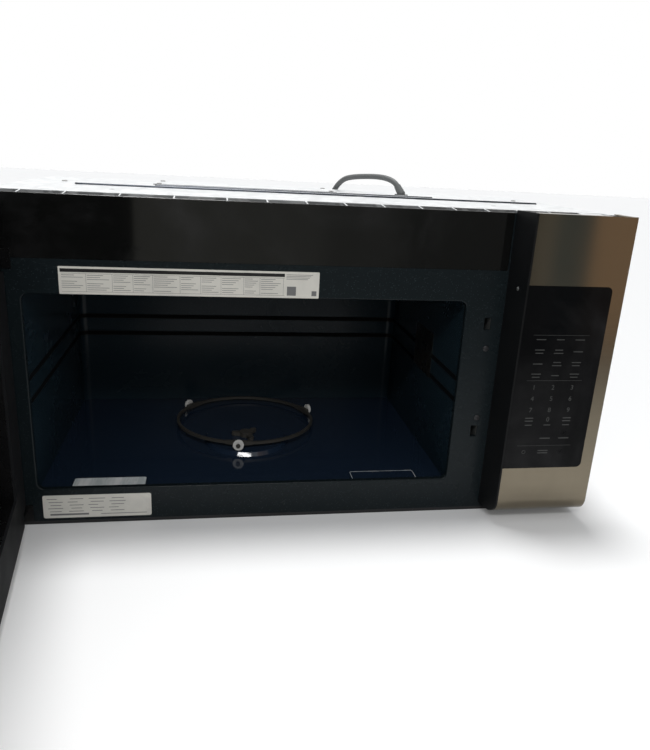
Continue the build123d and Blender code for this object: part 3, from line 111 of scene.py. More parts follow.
def rgb(r, g, b):
    return (r, g, b, 1.0)


def place_on_piece(tree, turn=(0.0, 0.0, 0.0)):
    """Object coordinates in metres, turned to follow a piece."""
    point = add(tree, "ShaderNodeTexCoord").outputs["Object"]
    return add(tree, "ShaderNodeMapping", {"Vector": point, "Rotation": turn}).outputs[0]


def new_group(name, inputs, outputs):
    """An empty shader group with float and vector inputs, and named outputs."""
    tree = bpy.data.node_groups.new(name, "ShaderNodeTree")
    for socket, default in inputs:
        kind = "NodeSocketVector" if default is None else "NodeSocketFloat"
        made = tree.interface.new_socket(socket, in_out="INPUT", socket_type=kind)
        if default is not None:
            made.default_value = default
    for socket, kind in outputs:
        tree.interface.new_socket(socket, in_out="OUTPUT", socket_type=kind)
    return tree, tree.nodes.new("NodeGroupInput").outputs, tree.nodes.new("NodeGroupOutput").inputs


def use(tree, group, **feeds):
    made = add(tree, "ShaderNodeGroup", node_tree=group)
    for name, value in feeds.items():
        if isinstance(value, bpy.types.NodeSocket):
            tree.links.new(value, made.inputs[name])
        else:
            made.inputs[name].default_value = value
    return made.outputs


# ------------------------------------------------------------------ shared effects


def make_rolled_grain():
    """Long fine scratches along X, as left by a brushing belt."""
    tree, given, result = new_group(
        "rolled_grain", [("Point", None), ("Along", 6.0), ("Across", 900.0), ("Depth", 0.1)],
        [("Tone", "NodeSocketFloat"), ("Normal", "NodeSocketVector")])
    split = add(tree, "ShaderNodeSeparateXYZ", {0: given["Point"]}).outputs
    x = maths(tree, "MULTIPLY", split[0], given["Along"])
    y = maths(tree, "MULTIPLY", split[1], given["Across"])
    z = maths(tree, "MULTIPLY", split[2], given["Across"])
    stretched = add(tree, "ShaderNodeCombineXYZ", {0: x, 1: y, 2: z}).outputs[0]
    fine = add(tree, "ShaderNodeTexNoise",
               {"Vector": stretched, "Scale": 1.0, "Detail": 5.0, "Roughness": 0.65}).outputs[0]
    wide = noise(tree, stretched, 0.12, 2.0)
    tone = maths(tree, "ADD", maths(tree, "MULTIPLY", fine, 0.85), maths(tree, "MULTIPLY", wide, 0.15))
    bump = add(tree, "ShaderNodeBump", {"Height": tone, "Strength": given["Depth"], "Distance": 0.0002})
    tree.links.new(tone, result["Tone"])
    tree.links.new(bump.outputs[0], result["Normal"])
    return tree


def make_handling_marks():
    """Broad faint smears with finger-sized spots, from 0, clean, to 1."""
    tree, given, result = new_group(
        "handling_marks", [("Point", None), ("Size", 9.0), ("Amount", 0.5)], [("Mask", "NodeSocketFloat")])
    smear = add(tree, "ShaderNodeTexNoise", {"Vector": given["Point"], "Scale": given["Size"], "Detail": 6.0,
                                             "Roughness": 0.6, "Distortion": 1.2}).outputs[0]
    small = maths(tree, "MULTIPLY", given["Size"], 7.0)
    spots = noise(tree, given["Point"], small, 3.0)
    mask = maths(tree, "MULTIPLY", remap(tree, smear, 0.48, 0.72, 0.0, 1.0),
                 remap(tree, spots, 0.35, 0.7, 0.35, 1.0))
    tree.links.new(maths(tree, "MULTIPLY", mask, given["Amount"], True), result["Mask"])
    return tree


def make_fine_speckle():
    """Scattered light flecks, as in speckled enamel."""
    tree, given, result = new_group(
        "fine_speckle", [("Point", None), ("Size", 700.0), ("Share", 0.3)], [("Mask", "NodeSocketFloat")])
    cells = add(tree, "ShaderNodeTexVoronoi", {"Vector": given["Point"], "Scale": given["Size"]})
    colour = add(tree, "ShaderNodeSeparateColor", {0: cells.outputs["Color"]}).outputs[0]
    chosen = maths(tree, "LESS_THAN", colour, given["Share"])
    centre = remap(tree, cells.outputs["Distance"], 0.10, 0.34, 1.0, 0.0)
    tree.links.new(maths(tree, "MULTIPLY", chosen, centre, True), result["Mask"])
    return tree


def make_settled_dust():
    """Dust that lies thicker on faces that look up."""
    tree, given, result = new_group(
        "settled_dust", [("Point", None), ("Amount", 0.4)], [("Mask", "NodeSocketFloat")])
    normal = add(tree, "ShaderNodeNewGeometry").outputs["Normal"]
    up = remap(tree, add(tree, "ShaderNodeSeparateXYZ", {0: normal}).outputs[2], 0.2, 0.95, 0.0, 1.0)
    drift = noise(tree, given["Point"], 14.0, 5.0)
    motes = noise(tree, given["Point"], 420.0, 2.0)
    cover = maths(tree, "MULTIPLY", remap(tree, drift, 0.35, 0.7, 0.2, 1.0),
                  remap(tree, motes, 0.45, 0.7, 0.3, 1.0))
    mask = maths(tree, "MULTIPLY", maths(tree, "MULTIPLY", up, cover), given["Amount"], True)
    tree.links.new(mask, result["Mask"])
    return tree


def make_moulded_skin():
    """The fine even texture of a moulding tool."""
    tree, given, result = new_group(
        "moulded_skin", [("Point", None), ("Size", 900.0), ("Depth", 0.15)],
        [("Tone", "NodeSocketFloat"), ("Normal", "NodeSocketVector")])
    grain = noise(tree, given["Point"], given["Size"], 3.0)
    cloud = noise(tree, given["Point"], 18.0, 4.0)
    bump = add(tree, "ShaderNodeBump", {"Height": grain, "Strength": given["Depth"], "Distance": 0.0002})
    tree.links.new(cloud, result["Tone"])
    tree.links.new(bump.outputs[0], result["Normal"])
    return tree


rolled_grain = make_rolled_grain()
handling_marks = make_handling_marks()
fine_speckle = make_fine_speckle()
settled_dust = make_settled_dust()
moulded_skin = make_moulded_skin()


# ------------------------------------------------------------------ finishes


def new_finish(name, **constants):
    """A material with its Principled shader, whose even values are set on the shader."""
    material = bpy.data.materials.new(name)
    material.use_nodes = True
    tree = material.node_tree
    shader = tree.nodes["Principled BSDF"]
    for socket, value in constants.items():
        shader.inputs[socket.replace("_", " ")].default_value = value
    return material, tree, shader.inputs


def feed(tree, socket, value):
    tree.links.new(value, socket)


def brushed_stainless(name, turn=(0.0, 0.0, 0.0), grain_way=(1.0, 0.0, 0.0)):
    """Warm brushed steel. What it mirrors is drawn out across the grain, which runs along `grain_way`."""
    material, tree, shader = new_finish(name, Metallic=1.0, Anisotropic=1.0, Anisotropic_Rotation=0.25)
    point = place_on_piece(tree, turn)
    grain = use(tree, rolled_grain, Point=point, Along=3.0, Across=1500.0, Depth=0.02)
    marks = use(tree, handling_marks, Point=point, Size=6.0, Amount=0.5)["Mask"]
    warm = blend_colours(tree, remap(tree, grain["Tone"], 0.3, 0.7, 0.0, 1.0), rgb(0.225, 0.194, 0.144),
                         rgb(0.245, 0.212, 0.158))
    feed(tree, shader["Base Color"], blend_colours(tree, marks, warm, rgb(0.20, 0.175, 0.13)))
    rough = remap(tree, grain["Tone"], 0.3, 0.7, 0.10, 0.12)
    feed(tree, shader["Roughness"], maths(tree, "ADD", rough, maths(tree, "MULTIPLY", marks, 0.06)))
    feed(tree, shader["Normal"], grain["Normal"])
    way = add(tree, "ShaderNodeVectorTransform", {0: grain_way}, vector_type="VECTOR", convert_from="OBJECT",
              convert_to="WORLD")
    feed(tree, shader["Tangent"], way.outputs[0])
    return material


def galvanised_sheet():
    material, tree, shader = new_finish("galvanised_sheet", Metallic=0.85)
    point = place_on_piece(tree)
    warped = add(tree, "ShaderNodeTexNoise", {"Vector": point, "Scale": 30.0, "Detail": 2.0}).outputs[1]
    bent = add(tree, "ShaderNodeVectorMath", {0: warped, "Scale": 0.018}, operation="SCALE").outputs[0]
    moved = add(tree, "ShaderNodeVectorMath", {0: point, 1: bent}, operation="ADD").outputs[0]
    cells = add(tree, "ShaderNodeTexVoronoi", {"Vector": moved, "Scale": 95.0}).outputs["Color"]
    spangle = add(tree, "ShaderNodeSeparateColor", {0: cells}).outputs[0]
    dust = use(tree, settled_dust, Point=point, Amount=0.35)["Mask"]
    height = add(tree, "ShaderNodeSeparateXYZ", {0: point}).outputs[2]
    facing = add(tree, "ShaderNodeNewGeometry").outputs["True Normal"]
    upward = add(tree, "ShaderNodeSeparateXYZ", {0: facing}).outputs[2]
    # Painted light: faces that look up get the lighter zinc and all others the darker, as lit and shaded
    # copies of one sheet.
    shaded_side_zinc = blend_colours(tree, spangle, rgb(0.34, 0.355, 0.365), rgb(0.52, 0.535, 0.545))
    bright = blend_colours(tree, spangle, rgb(0.66, 0.68, 0.69), rgb(0.82, 0.84, 0.85))
    coat_and_painted_light = blend_colours(tree, maths(tree, "GREATER_THAN", upward, 0.85), shaded_side_zinc, bright)
    dust_and_painted_light = blend_colours(tree, dust, coat_and_painted_light, rgb(0.50, 0.49, 0.46))
    # Painted shade: faces above the top sheet that don't look up, the flanks of its beads, ribs and plates,
    # are coloured near black.
    painted_flank_shade = maths(tree, "MULTIPLY", maths(tree, "LESS_THAN", upward, 0.85),
                  maths(tree, "GREATER_THAN", height, TOP_SHEET_Z / 1000))
    feed(tree, shader["Base Color"], blend_colours(tree, painted_flank_shade, dust_and_painted_light, rgb(0.030, 0.035, 0.045)))
    rough = maths(tree, "ADD", remap(tree, spangle, 0.0, 1.0, 0.28, 0.44), maths(tree, "MULTIPLY", dust, 0.3))
    feed(tree, shader["Roughness"], rough)
    bump = add(tree, "ShaderNodeBump", {"Height": spangle, "Strength": 0.05, "Distance": 0.0003})
    feed(tree, shader["Normal"], bump.outputs[0])
    return material


def speckled_enamel(name, ground, fleck, share, level, painted_shade_bands=(), polish=0.24):
    """Enamel with light flecks, with painted shade, a near-black coat, in thin bands at the heights of
    pressed beads, given in metres.
    """
    material, tree, shader = new_finish(name, Specular_IOR_Level=level)
    point = place_on_piece(tree)
    flecks = use(tree, fine_speckle, Point=point, Size=620.0, Share=share)["Mask"]
    marks = use(tree, handling_marks, Point=point, Size=7.0, Amount=0.6)["Mask"]
    coat_and_painted_light = blend_colours(tree, flecks, ground, fleck)
    rough = remap(tree, marks, 0.0, 1.0, polish, polish + 0.18)
    height = add(tree, "ShaderNodeSeparateXYZ", {0: point}).outputs[2]
    # Painted shade: the coat goes near black along each bead.
    for shade_band in painted_shade_bands:
        off = maths(tree, "ABSOLUTE", maths(tree, "SUBTRACT", height, shade_band))
        mask = remap(tree, off, 0.0028, 0.0042, 1.0, 0.0)
        coat_and_painted_light = blend_colours(tree, mask, coat_and_painted_light, rgb(0.0008, 0.0010, 0.0014))
        rough = maths(tree, "ADD", rough, maths(tree, "MULTIPLY", mask, 0.5))
    feed(tree, shader["Base Color"], coat_and_painted_light)
    feed(tree, shader["Roughness"], rough)
    waves = noise(tree, point, 160.0, 2.0)
    bump = add(tree, "ShaderNodeBump", {"Height": waves, "Strength": 0.12, "Distance": 0.0004})
    feed(tree, shader["Normal"], bump.outputs[0])
    return material


def painted_highlight_enamel():
    """Pale enamel that is painted highlight, brightest in broad streaks across the pad."""
    material, tree, shader = new_finish("painted_highlight_enamel", Specular_IOR_Level=0.8)
    point = place_on_piece(tree)
    highlight_streaks = add(tree, "ShaderNodeMapping", {"Vector": point, "Scale": (55.0, 8.0, 1.0)}).outputs[0]
    tone = noise(tree, highlight_streaks, 1.0, 3.0)
    bright = remap(tree, tone, 0.42, 0.56, 0.0, 1.0)
    highlight_colour = blend_colours(tree, bright, rgb(0.62, 0.67, 0.67), rgb(0.96, 0.98, 0.97))
    feed(tree, shader["Base Color"], highlight_colour)
    feed(tree, shader["Roughness"], remap(tree, bright, 0.0, 1.0, 0.35, 0.18))
    return material


def gloss_black(name, base, level=0.25, bend=1.5):
    material, tree, shader = new_finish(name, Specular_IOR_Level=level, IOR=bend)
    point = place_on_piece(tree)
    marks = use(tree, handling_marks, Point=point, Size=5.0, Amount=0.8)["Mask"]
    dust = use(tree, settled_dust, Point=point, Amount=0.5)["Mask"]
    haze = blend_colours(tree, marks, base, rgb(0.022, 0.022, 0.023))
    feed(tree, shader["Base Color"], blend_colours(tree, dust, haze, rgb(0.10, 0.10, 0.095)))
    rough = maths(tree, "ADD", remap(tree, marks, 0.0, 1.0, 0.07, 0.26), maths(tree, "MULTIPLY", dust, 0.4))
    feed(tree, shader["Roughness"], rough)
    return material


def plain_moulding(name, dark, light, rough, depth=0.2, size=900.0, level=0.4, bend=1.5):
    material, tree, shader = new_finish(name, Specular_IOR_Level=level, IOR=bend)
    point = place_on_piece(tree)
    skin = use(tree, moulded_skin, Point=point, Size=size, Depth=depth)
    feed(tree, shader["Base Color"], blend_colours(tree, skin["Tone"], dark, light))
    feed(tree, shader["Roughness"], remap(tree, skin["Tone"], 0.3, 0.7, rough - 0.06, rough + 0.06))
    feed(tree, shader["Normal"], skin["Normal"])
    return material


def worn_metal(name, dark, light, rough, metallic=1.0):
    material, tree, shader = new_finish(name, Metallic=metallic)
    point = place_on_piece(tree)
    grain = use(tree, rolled_grain, Point=point, Along=60.0, Across=500.0, Depth=0.06)
    marks = use(tree, handling_marks, Point=point, Size=25.0, Amount=0.7)["Mask"]
    metal = blend_colours(tree, grain["Tone"], dark, light)
    feed(tree, shader["Base Color"], blend_colours(tree, marks, metal, dark))
    feed(tree, shader["Roughness"], remap(tree, marks, 0.0, 1.0, rough, rough + 0.2))
    feed(tree, shader["Normal"], grain["Normal"])
    return material


MESH_PITCH = 0.0045


def layered_mesh():
    """Expanded aluminium foil in crossed layers, inside its rim."""
    material, tree, shader = new_finish("layered_mesh", Metallic=0.9)
    point = place_on_piece(tree)
    quarter = (0, 0, math.radians(45))
    diagonal = add(tree, "ShaderNodeMapping", {"Vector": point, "Rotation": quarter}).outputs[0]
    split = add(tree, "ShaderNodeSeparateXYZ", {0: diagonal}).outputs
    pitch = 2 * math.pi / MESH_PITCH
    ribs_x = maths(tree, "SINE", maths(tree, "MULTIPLY", split[0], pitch))
    ribs_y = maths(tree, "SINE", maths(tree, "MULTIPLY", split[1], pitch))
    weave = maths(tree, "MAXIMUM", ribs_x, ribs_y)
    open_share = remap(tree, weave, -0.2, 0.5, 0.0, 1.0)
    foil = blend_colours(tree, open_share, rgb(0.05, 0.05, 0.05), rgb(0.58, 0.59, 0.60))
    feed(tree, shader["Base Color"], foil)
    feed(tree, shader["Roughness"], remap(tree, weave, -1.0, 1.0, 0.6, 0.3))
    bump = add(tree, "ShaderNodeBump", {"Height": weave, "Strength": 0.8, "Distance": 0.001})
    feed(tree, shader["Normal"], bump.outputs[0])
    return material


def charcoal_cloth():
    material, tree, shader = new_finish("charcoal_cloth", Roughness=0.95, Specular_IOR_Level=0.1)
    point = place_on_piece(tree)
    cells = add(tree, "ShaderNodeTexVoronoi", {"Vector": point, "Scale": 260.0}).outputs["Distance"]
    cloth = blend_colours(tree, remap(tree, cells, 0.0, 0.6, 0.0, 1.0), rgb(0.035, 0.035, 0.034),
                          rgb(0.008, 0.008, 0.008))
    feed(tree, shader["Base Color"], cloth)
    bump = add(tree, "ShaderNodeBump", {"Height": cells, "Strength": 0.9, "Distance": 0.002})
    feed(tree, shader["Normal"], bump.outputs[0])
    return material


def circuit_green():
    material, tree, shader = new_finish("circuit_green", Specular_IOR_Level=0.4)
    point = place_on_piece(tree)
    cells = add(tree, "ShaderNodeTexVoronoi", {"Vector": point, "Scale": 160.0}, distance="MANHATTAN")
    lines = remap(tree, cells.outputs["Distance"], 0.32, 0.36, 0.0, 1.0)
    board = blend_colours(tree, lines, rgb(0.012, 0.09, 0.03), rgb(0.03, 0.16, 0.06))
    feed(tree, shader["Base Color"], board)
    feed(tree, shader["Roughness"], remap(tree, lines, 0.0, 1.0, 0.35, 0.5))
    return material


def frosted_lens():
    material, tree, shader = new_finish("frosted_lens", Specular_IOR_Level=0.4, Subsurface_Weight=0.2)
    point = place_on_piece(tree)
    prisms = add(tree, "ShaderNodeTexVoronoi", {"Vector": point, "Scale": 500.0}).outputs["Distance"]
    lens = blend_colours(tree, prisms, rgb(0.74, 0.74, 0.70), rgb(0.86, 0.86, 0.83))
    feed(tree, shader["Base Color"], lens)
    feed(tree, shader["Roughness"], remap(tree, prisms, 0.0, 0.6, 0.45, 0.6))
    bump = add(tree, "ShaderNodeBump", {"Height": prisms, "Strength": 0.4, "Distance": 0.0005})
    feed(tree, shader["Normal"], bump.outputs[0])
    return material


def clear_bulb():
    material, tree, shader = new_finish("clear_bulb", Transmission_Weight=0.9, IOR=1.45)
    point = place_on_piece(tree)
    marks = use(tree, handling_marks, Point=point, Size=40.0, Amount=0.5)["Mask"]
    feed(tree, shader["Roughness"], remap(tree, marks, 0.0, 1.0, 0.03, 0.2))
    glass = blend_colours(tree, marks, rgb(0.92, 0.92, 0.90), rgb(0.80, 0.78, 0.72))
    feed(tree, shader["Base Color"], glass)
    return material


def label_paper():
    material, tree, shader = new_finish("label_paper", Specular_IOR_Level=0.5)
    point = place_on_piece(tree)
    skin = use(tree, moulded_skin, Point=point, Size=500.0, Depth=0.05)
    marks = use(tree, handling_marks, Point=point, Size=12.0, Amount=0.6)["Mask"]
    paper = blend_colours(tree, skin["Tone"], rgb(0.66, 0.64, 0.58), rgb(0.76, 0.74, 0.68))
    feed(tree, shader["Base Color"], blend_colours(tree, marks, paper, rgb(0.50, 0.49, 0.46)))
    feed(tree, shader["Roughness"], remap(tree, marks, 0.0, 1.0, 0.3, 0.5))
    feed(tree, shader["Normal"], skin["Normal"])
    return material


def print_ink(name, light, dark):
    material, tree, shader = new_finish(name, Specular_IOR_Level=0.3)
    point = place_on_piece(tree)
    skin = use(tree, moulded_skin, Point=point, Size=700.0, Depth=0.03)
    feed(tree, shader["Base Color"], blend_colours(tree, skin["Tone"], dark, light))
    feed(tree, shader["Roughness"], remap(tree, skin["Tone"], 0.3, 0.7, 0.35, 0.5))
    return material


def mica_board():
    material, tree, shader = new_finish("mica_board", Specular_IOR_Level=0.4)
    point = place_on_piece(tree)
    flakes = add(tree, "ShaderNodeTexVoronoi", {"Vector": point, "Scale": 140.0}).outputs["Color"]
    tone = add(tree, "ShaderNodeSeparateColor", {0: flakes}).outputs[0]
    board = blend_colours(tree, tone, rgb(0.0080, 0.0075, 0.0060), rgb(0.0150, 0.0140, 0.0110))
    feed(tree, shader["Base Color"], board)
    feed(tree, shader["Roughness"], remap(tree, tone, 0.0, 1.0, 0.25, 0.5))
    return material


RACK_BEADS = (0.1615, 0.1907)       # heights of the two beads round the cavity

door_way = (math.cos(DOOR_SWING), -math.sin(DOOR_SWING), 0.0)
stainless = brushed_stainless("brushed_stainless")
door_stainless = brushed_stainless("door_stainless", (0.0, 0.0, DOOR_SWING), door_way)
bar_stainless = brushed_stainless("bar_stainless", (0.0, math.pi / 2, 0.0), (0.0, 0.0, 1.0))
zinc = galvanised_sheet()
frame_enamel = speckled_enamel(
    "frame_enamel", rgb(0.0084, 0.0126, 0.0146), rgb(0.046, 0.062, 0.068), 0.26, 0.16)
# The cavity's enamel gets painted shade along its two beads.
oven_enamel = speckled_enamel(
    "oven_enamel", rgb(0.0125, 0.0245, 0.0335), rgb(0.032, 0.054, 0.068), 0.22, 0.18, RACK_BEADS)
floor_enamel = speckled_enamel(
    "floor_enamel", rgb(0.0125, 0.0225, 0.0420), rgb(0.030, 0.048, 0.080), 0.22, 0.60, polish=0.08)
vent_black = gloss_black("vent_black", rgb(0.0040, 0.0042, 0.0040), 0.5)
touch_glass = gloss_black("touch_glass", rgb(0.0040, 0.0042, 0.0046), 0.08)
display_glass = gloss_black("display_glass", rgb(0.0046, 0.0048, 0.0052), 0.08)
window_black = gloss_black("window_black", rgb(0.0040, 0.0040, 0.0045), 0.3)
inner_pane = gloss_black("inner_pane", rgb(0.0050, 0.0052, 0.0056), 0.02, 1.15)
cover_moulding = plain_moulding(
    "cover_moulding", rgb(0.0125, 0.0130, 0.0140), rgb(0.0180, 0.0186, 0.0200), 0.42, level=0.06, bend=1.2)
black_moulding = plain_moulding(
    "black_moulding", rgb(0.0050, 0.0054, 0.0060), rgb(0.0090, 0.0096, 0.0104), 0.42, level=0.15)
base_paint = plain_moulding(
    "base_paint", rgb(0.012, 0.012, 0.013), rgb(0.020, 0.020, 0.021), 0.45, 0.35, 1300.0)
ring_plastic = plain_moulding("ring_plastic", rgb(0.036, 0.034, 0.030), rgb(0.064, 0.060, 0.053), 0.40)
white_nylon = plain_moulding("white_nylon", rgb(0.62, 0.61, 0.58), rgb(0.74, 0.73, 0.70), 0.38, 0.1)
smoky_nylon = plain_moulding("smoky_nylon", rgb(0.085, 0.09, 0.09), rgb(0.13, 0.135, 0.13), 0.35, 0.1)
# Painted highlight for the tops of the floor's pads.
pad_highlight_finish = painted_highlight_enamel()
cord_jacket = plain_moulding(
    "cord_jacket", rgb(0.095, 0.10, 0.10), rgb(0.14, 0.145, 0.145), 0.50, 0.25, 600.0)
plated_steel = worn_metal("plated_steel", rgb(0.38, 0.38, 0.37), rgb(0.56, 0.56, 0.56), 0.28)
dark_steel = worn_metal("dark_steel", rgb(0.035, 0.035, 0.037), rgb(0.075, 0.075, 0.078), 0.40, 0.7)
black_steel = worn_metal("black_steel", rgb(0.006, 0.006, 0.0065), rgb(0.012, 0.012, 0.0125), 0.25, 0.4)
plain_aluminium = worn_metal("plain_aluminium", rgb(0.50, 0.51, 0.52), rgb(0.66, 0.67, 0.68), 0.30)
blade_brass = worn_metal("blade_brass", rgb(0.50, 0.36, 0.14), rgb(0.66, 0.50, 0.22), 0.25)
mesh_finish = layered_mesh()
charcoal = charcoal_cloth()
board_green = circuit_green()
lens_finish = frosted_lens()
bulb_glass = clear_bulb()
mica = mica_board()
paper = label_paper()
black_ink = print_ink("black_ink", rgb(0.020, 0.020, 0.020), rgb(0.012, 0.012, 0.012))
grey_ink = print_ink("grey_ink", rgb(0.20, 0.20, 0.20), rgb(0.14, 0.14, 0.14))
legend_ink = print_ink("legend_ink", rgb(0.072, 0.075, 0.073), rgb(0.046, 0.048, 0.046))

NODE_FINISHES = {
    zinc: ("cabinet_wrap", "back_plate", "outlet_grille", "exhaust_plate", "waveguide", "cavity_lamp_housing",
           "blower_housing"),
    frame_enamel: ("front_frame",),
    oven_enamel: ("cavity_shell",),
    floor_enamel: ("cavity_floor",),
    base_paint: ("base_plate",),
    vent_black: ("vent_panel",),
    touch_glass: ("control_glass",),
    window_black: ("door_glass",),
    inner_pane: ("door_window_pane",),
    stainless: ("control_trim",),
    door_stainless: ("door_skin",),
    bar_stainless: ("door_handle", "handle_posts"),
    cover_moulding: ("door_inner_cover",),
    black_moulding: ("control_housing", "interlock_switches", "fan_shroud", "blower_rotor", "cooling_fan"),
    ring_plastic: ("roller_ring", "turntable_coupler"),
    white_nylon: ("ring_wheel_front", "ring_wheel_right", "ring_wheel_left", "hinge_bushes", "latch_hooks",
                  "switch_plunger_lower", "switch_plunger_middle", "switch_plunger_upper"),
    smoky_nylon: ("interlock_bracket",),
    plated_steel: ("latch_spring", "turntable_motor"),
    black_steel: ("hinge_brackets", "door_frame"),
    dark_steel: ("hv_transformer", "fan_motor", "blower_motor", "door_screen"),
    plain_aluminium: ("magnetron", "hv_capacitor"),
    mesh_finish: ("grease_filter_left", "grease_filter_right"),
    charcoal: ("charcoal_filter",),
    board_green: ("control_board", "noise_filter", "cooktop_lamps"),
    lens_finish: ("cooktop_lenses",),
    bulb_glass: ("cavity_lamp_bulb",),
    mica: ("waveguide_cover",),
    cord_jacket: ("strain_relief", "cord_coil", "power_cord"),
}


def finish_nodes():
    """Every node of the frame gets its finish."""
    for material, names in NODE_FINISHES.items():
        for name in names:
            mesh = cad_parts[name].data
            mesh.materials.clear()
            mesh.materials.append(material)


# ------------------------------------------------------------------ making pieces


def settle(name, mesh, material, body):
    """A finished mesh becomes a piece that rides on its body."""
    piece = bpy.data.objects.new(name, mesh)
    bpy.context.scene.collection.objects.link(piece)
    mesh.materials.clear()
    mesh.materials.append(material)
    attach(piece, body)
    return piece


def settle_bmesh(name, bm, material, body, smooth=False):
    bmesh.ops.remove_doubles(bm, verts=bm.verts, dist=1e-6)
    bmesh.ops.recalc_face_normals(bm, faces=bm.faces)
    for face in bm.faces:
        face.smooth = smooth
    mesh = bpy.data.meshes.new(name)
    bm.to_mesh(mesh)
    bm.free()
    return settle(name, mesh, material, body)


def add_block(bm, low, high):
    """A box between two corners, added to a mesh."""
    centre = (low + high) / 2
    size = high - low
    place = Matrix.Translation(centre) @ Matrix.Diagonal((abs(size.x), abs(size.y), abs(size.z), 1))
    bmesh.ops.create_cube(bm, size=1.0, matrix=place)


def add_disc(bm, centre, axis, radius, length, steps=24, top_radius=None):
    """A round bar from a point along an axis, added to a mesh."""
    turn = axis.to_track_quat("Z", "Y").to_matrix().to_4x4()
    place = Matrix.Translation(centre + axis * length / 2) @ turn
    far = radius if top_radius is None else top_radius
    bmesh.ops.create_cone(bm, cap_ends=True, segments=steps, radius1=radius, radius2=far, depth=length,
                          matrix=place)


def soften(bm, width, segments=2, angle=30):
    """Rounds every sharp edge of a mesh."""
    edges = [e for e in bm.edges if len(e.link_faces) == 2 and e.calc_face_angle() > math.radians(angle)]
    bmesh.ops.bevel(bm, geom=edges, offset=width, offset_type="OFFSET", segments=segments, profile=0.5,
                    affect="EDGES", material=-1, clamp_overlap=True)


# ------------------------------------------------------------------ mains cord

CORD_FOOT = (543.0, 252.0, 414.5)
CORD_TILT = math.radians(50.0)
CORD_BEARING = math.radians(127.0)
RELIEF_LENGTH = 14.0
STRAIGHT_START = 17.0
CORD_ROUTE = (
    (483.0, 334.0, 435.4),
    (464.0, 362.0, 426.3),
    (450.0, 390.0, 386.8),
    (446.0, 394.0, 326.0),
    (446.0, 393.0, 256.0),
    (447.0, 390.0, 184.0),
    (449.0, 389.0, 114.0),
    (446.0, 387.0, 68.0),
    (434.0, 384.0, 31.0),
    (408.0, 380.0, 6.0),
    (370.0, 378.0, 4.5),
)
COIL_RADIUS = 48.0
COIL_TURNS = 1.25
COIL_STEPS = 18
COIL_END = 44.0
PLUG_WIDTH = 26.0
PLUG_LENGTH = 38.0
PLUG_HEIGHT = 20.0
GROOVE_DEPTH = 1.5
GROOVE_PITCH = 5
PIN_APART = 6.35         # each flat blade, from the plug's middle
BLADE_LENGTH = 15.9


def cord_heading():
    flat = math.cos(CORD_TILT)
    return Vector((math.cos(CORD_BEARING) * flat, math.sin(CORD_BEARING) * flat, math.sin(CORD_TILT)))


def coil_centre():
    x, y, _ = CORD_ROUTE[-1]
    return x, y + COIL_RADIUS


def cord_line():
    """The route's points, the coil's turn and the short end at the plug."""
    foot = at(*CORD_FOOT)
    heading = cord_heading()
    points = [foot + heading * RELIEF_LENGTH / 1000, foot + heading * (RELIEF_LENGTH + STRAIGHT_START) / 1000]
    points += [at(*place) for place in CORD_ROUTE]
    cx, cy = coil_centre()
    steps = round(COIL_STEPS * COIL_TURNS)
    for i in range(1, steps + 1):
        share = i / COIL_STEPS
        angle = -math.pi / 2 - 2 * math.pi * share
        climb = min(max((share - 0.80) / 0.18, 0.0), 1.0)
        radius = COIL_RADIUS * (1.012 if i < steps else 1.0)
        height = CORD_RADIUS + 0.1 + 2 * CORD_RADIUS * climb * climb * (3 - 2 * climb)
        points.append(at(cx + radius * math.cos(angle), cy + radius * math.sin(angle), height))
    points.append(at(cx - COIL_RADIUS, cy + COIL_END * 0.45, 3 * CORD_RADIUS))
    points.append(at(cx - COIL_RADIUS, cy + COIL_END, PLUG_HEIGHT / 2))
    return points


def lay_cord():
    points = cord_line()
    curve = bpy.data.curves.new("mains_cord", "CURVE")
    curve.dimensions = "3D"
    curve.bevel_depth = CORD_RADIUS / 1000
    curve.bevel_resolution = 5
    curve.resolution_u = 8
    curve.use_fill_caps = True
    spline = curve.splines.new("NURBS")
    spline.points.add(len(points) - 1)
    for point, place in zip(spline.points, points):
        point.co = (place.x, place.y, place.z, 1.0)
    spline.order_u = 3
    spline.use_endpoint_u = True
    curve.materials.append(cord_jacket)
    cord = bpy.data.objects.new("mains_cord", curve)
    bpy.context.scene.collection.objects.link(cord)
    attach(cord, "cabinet")
    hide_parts("power_cord", "cord_coil")
    return cord


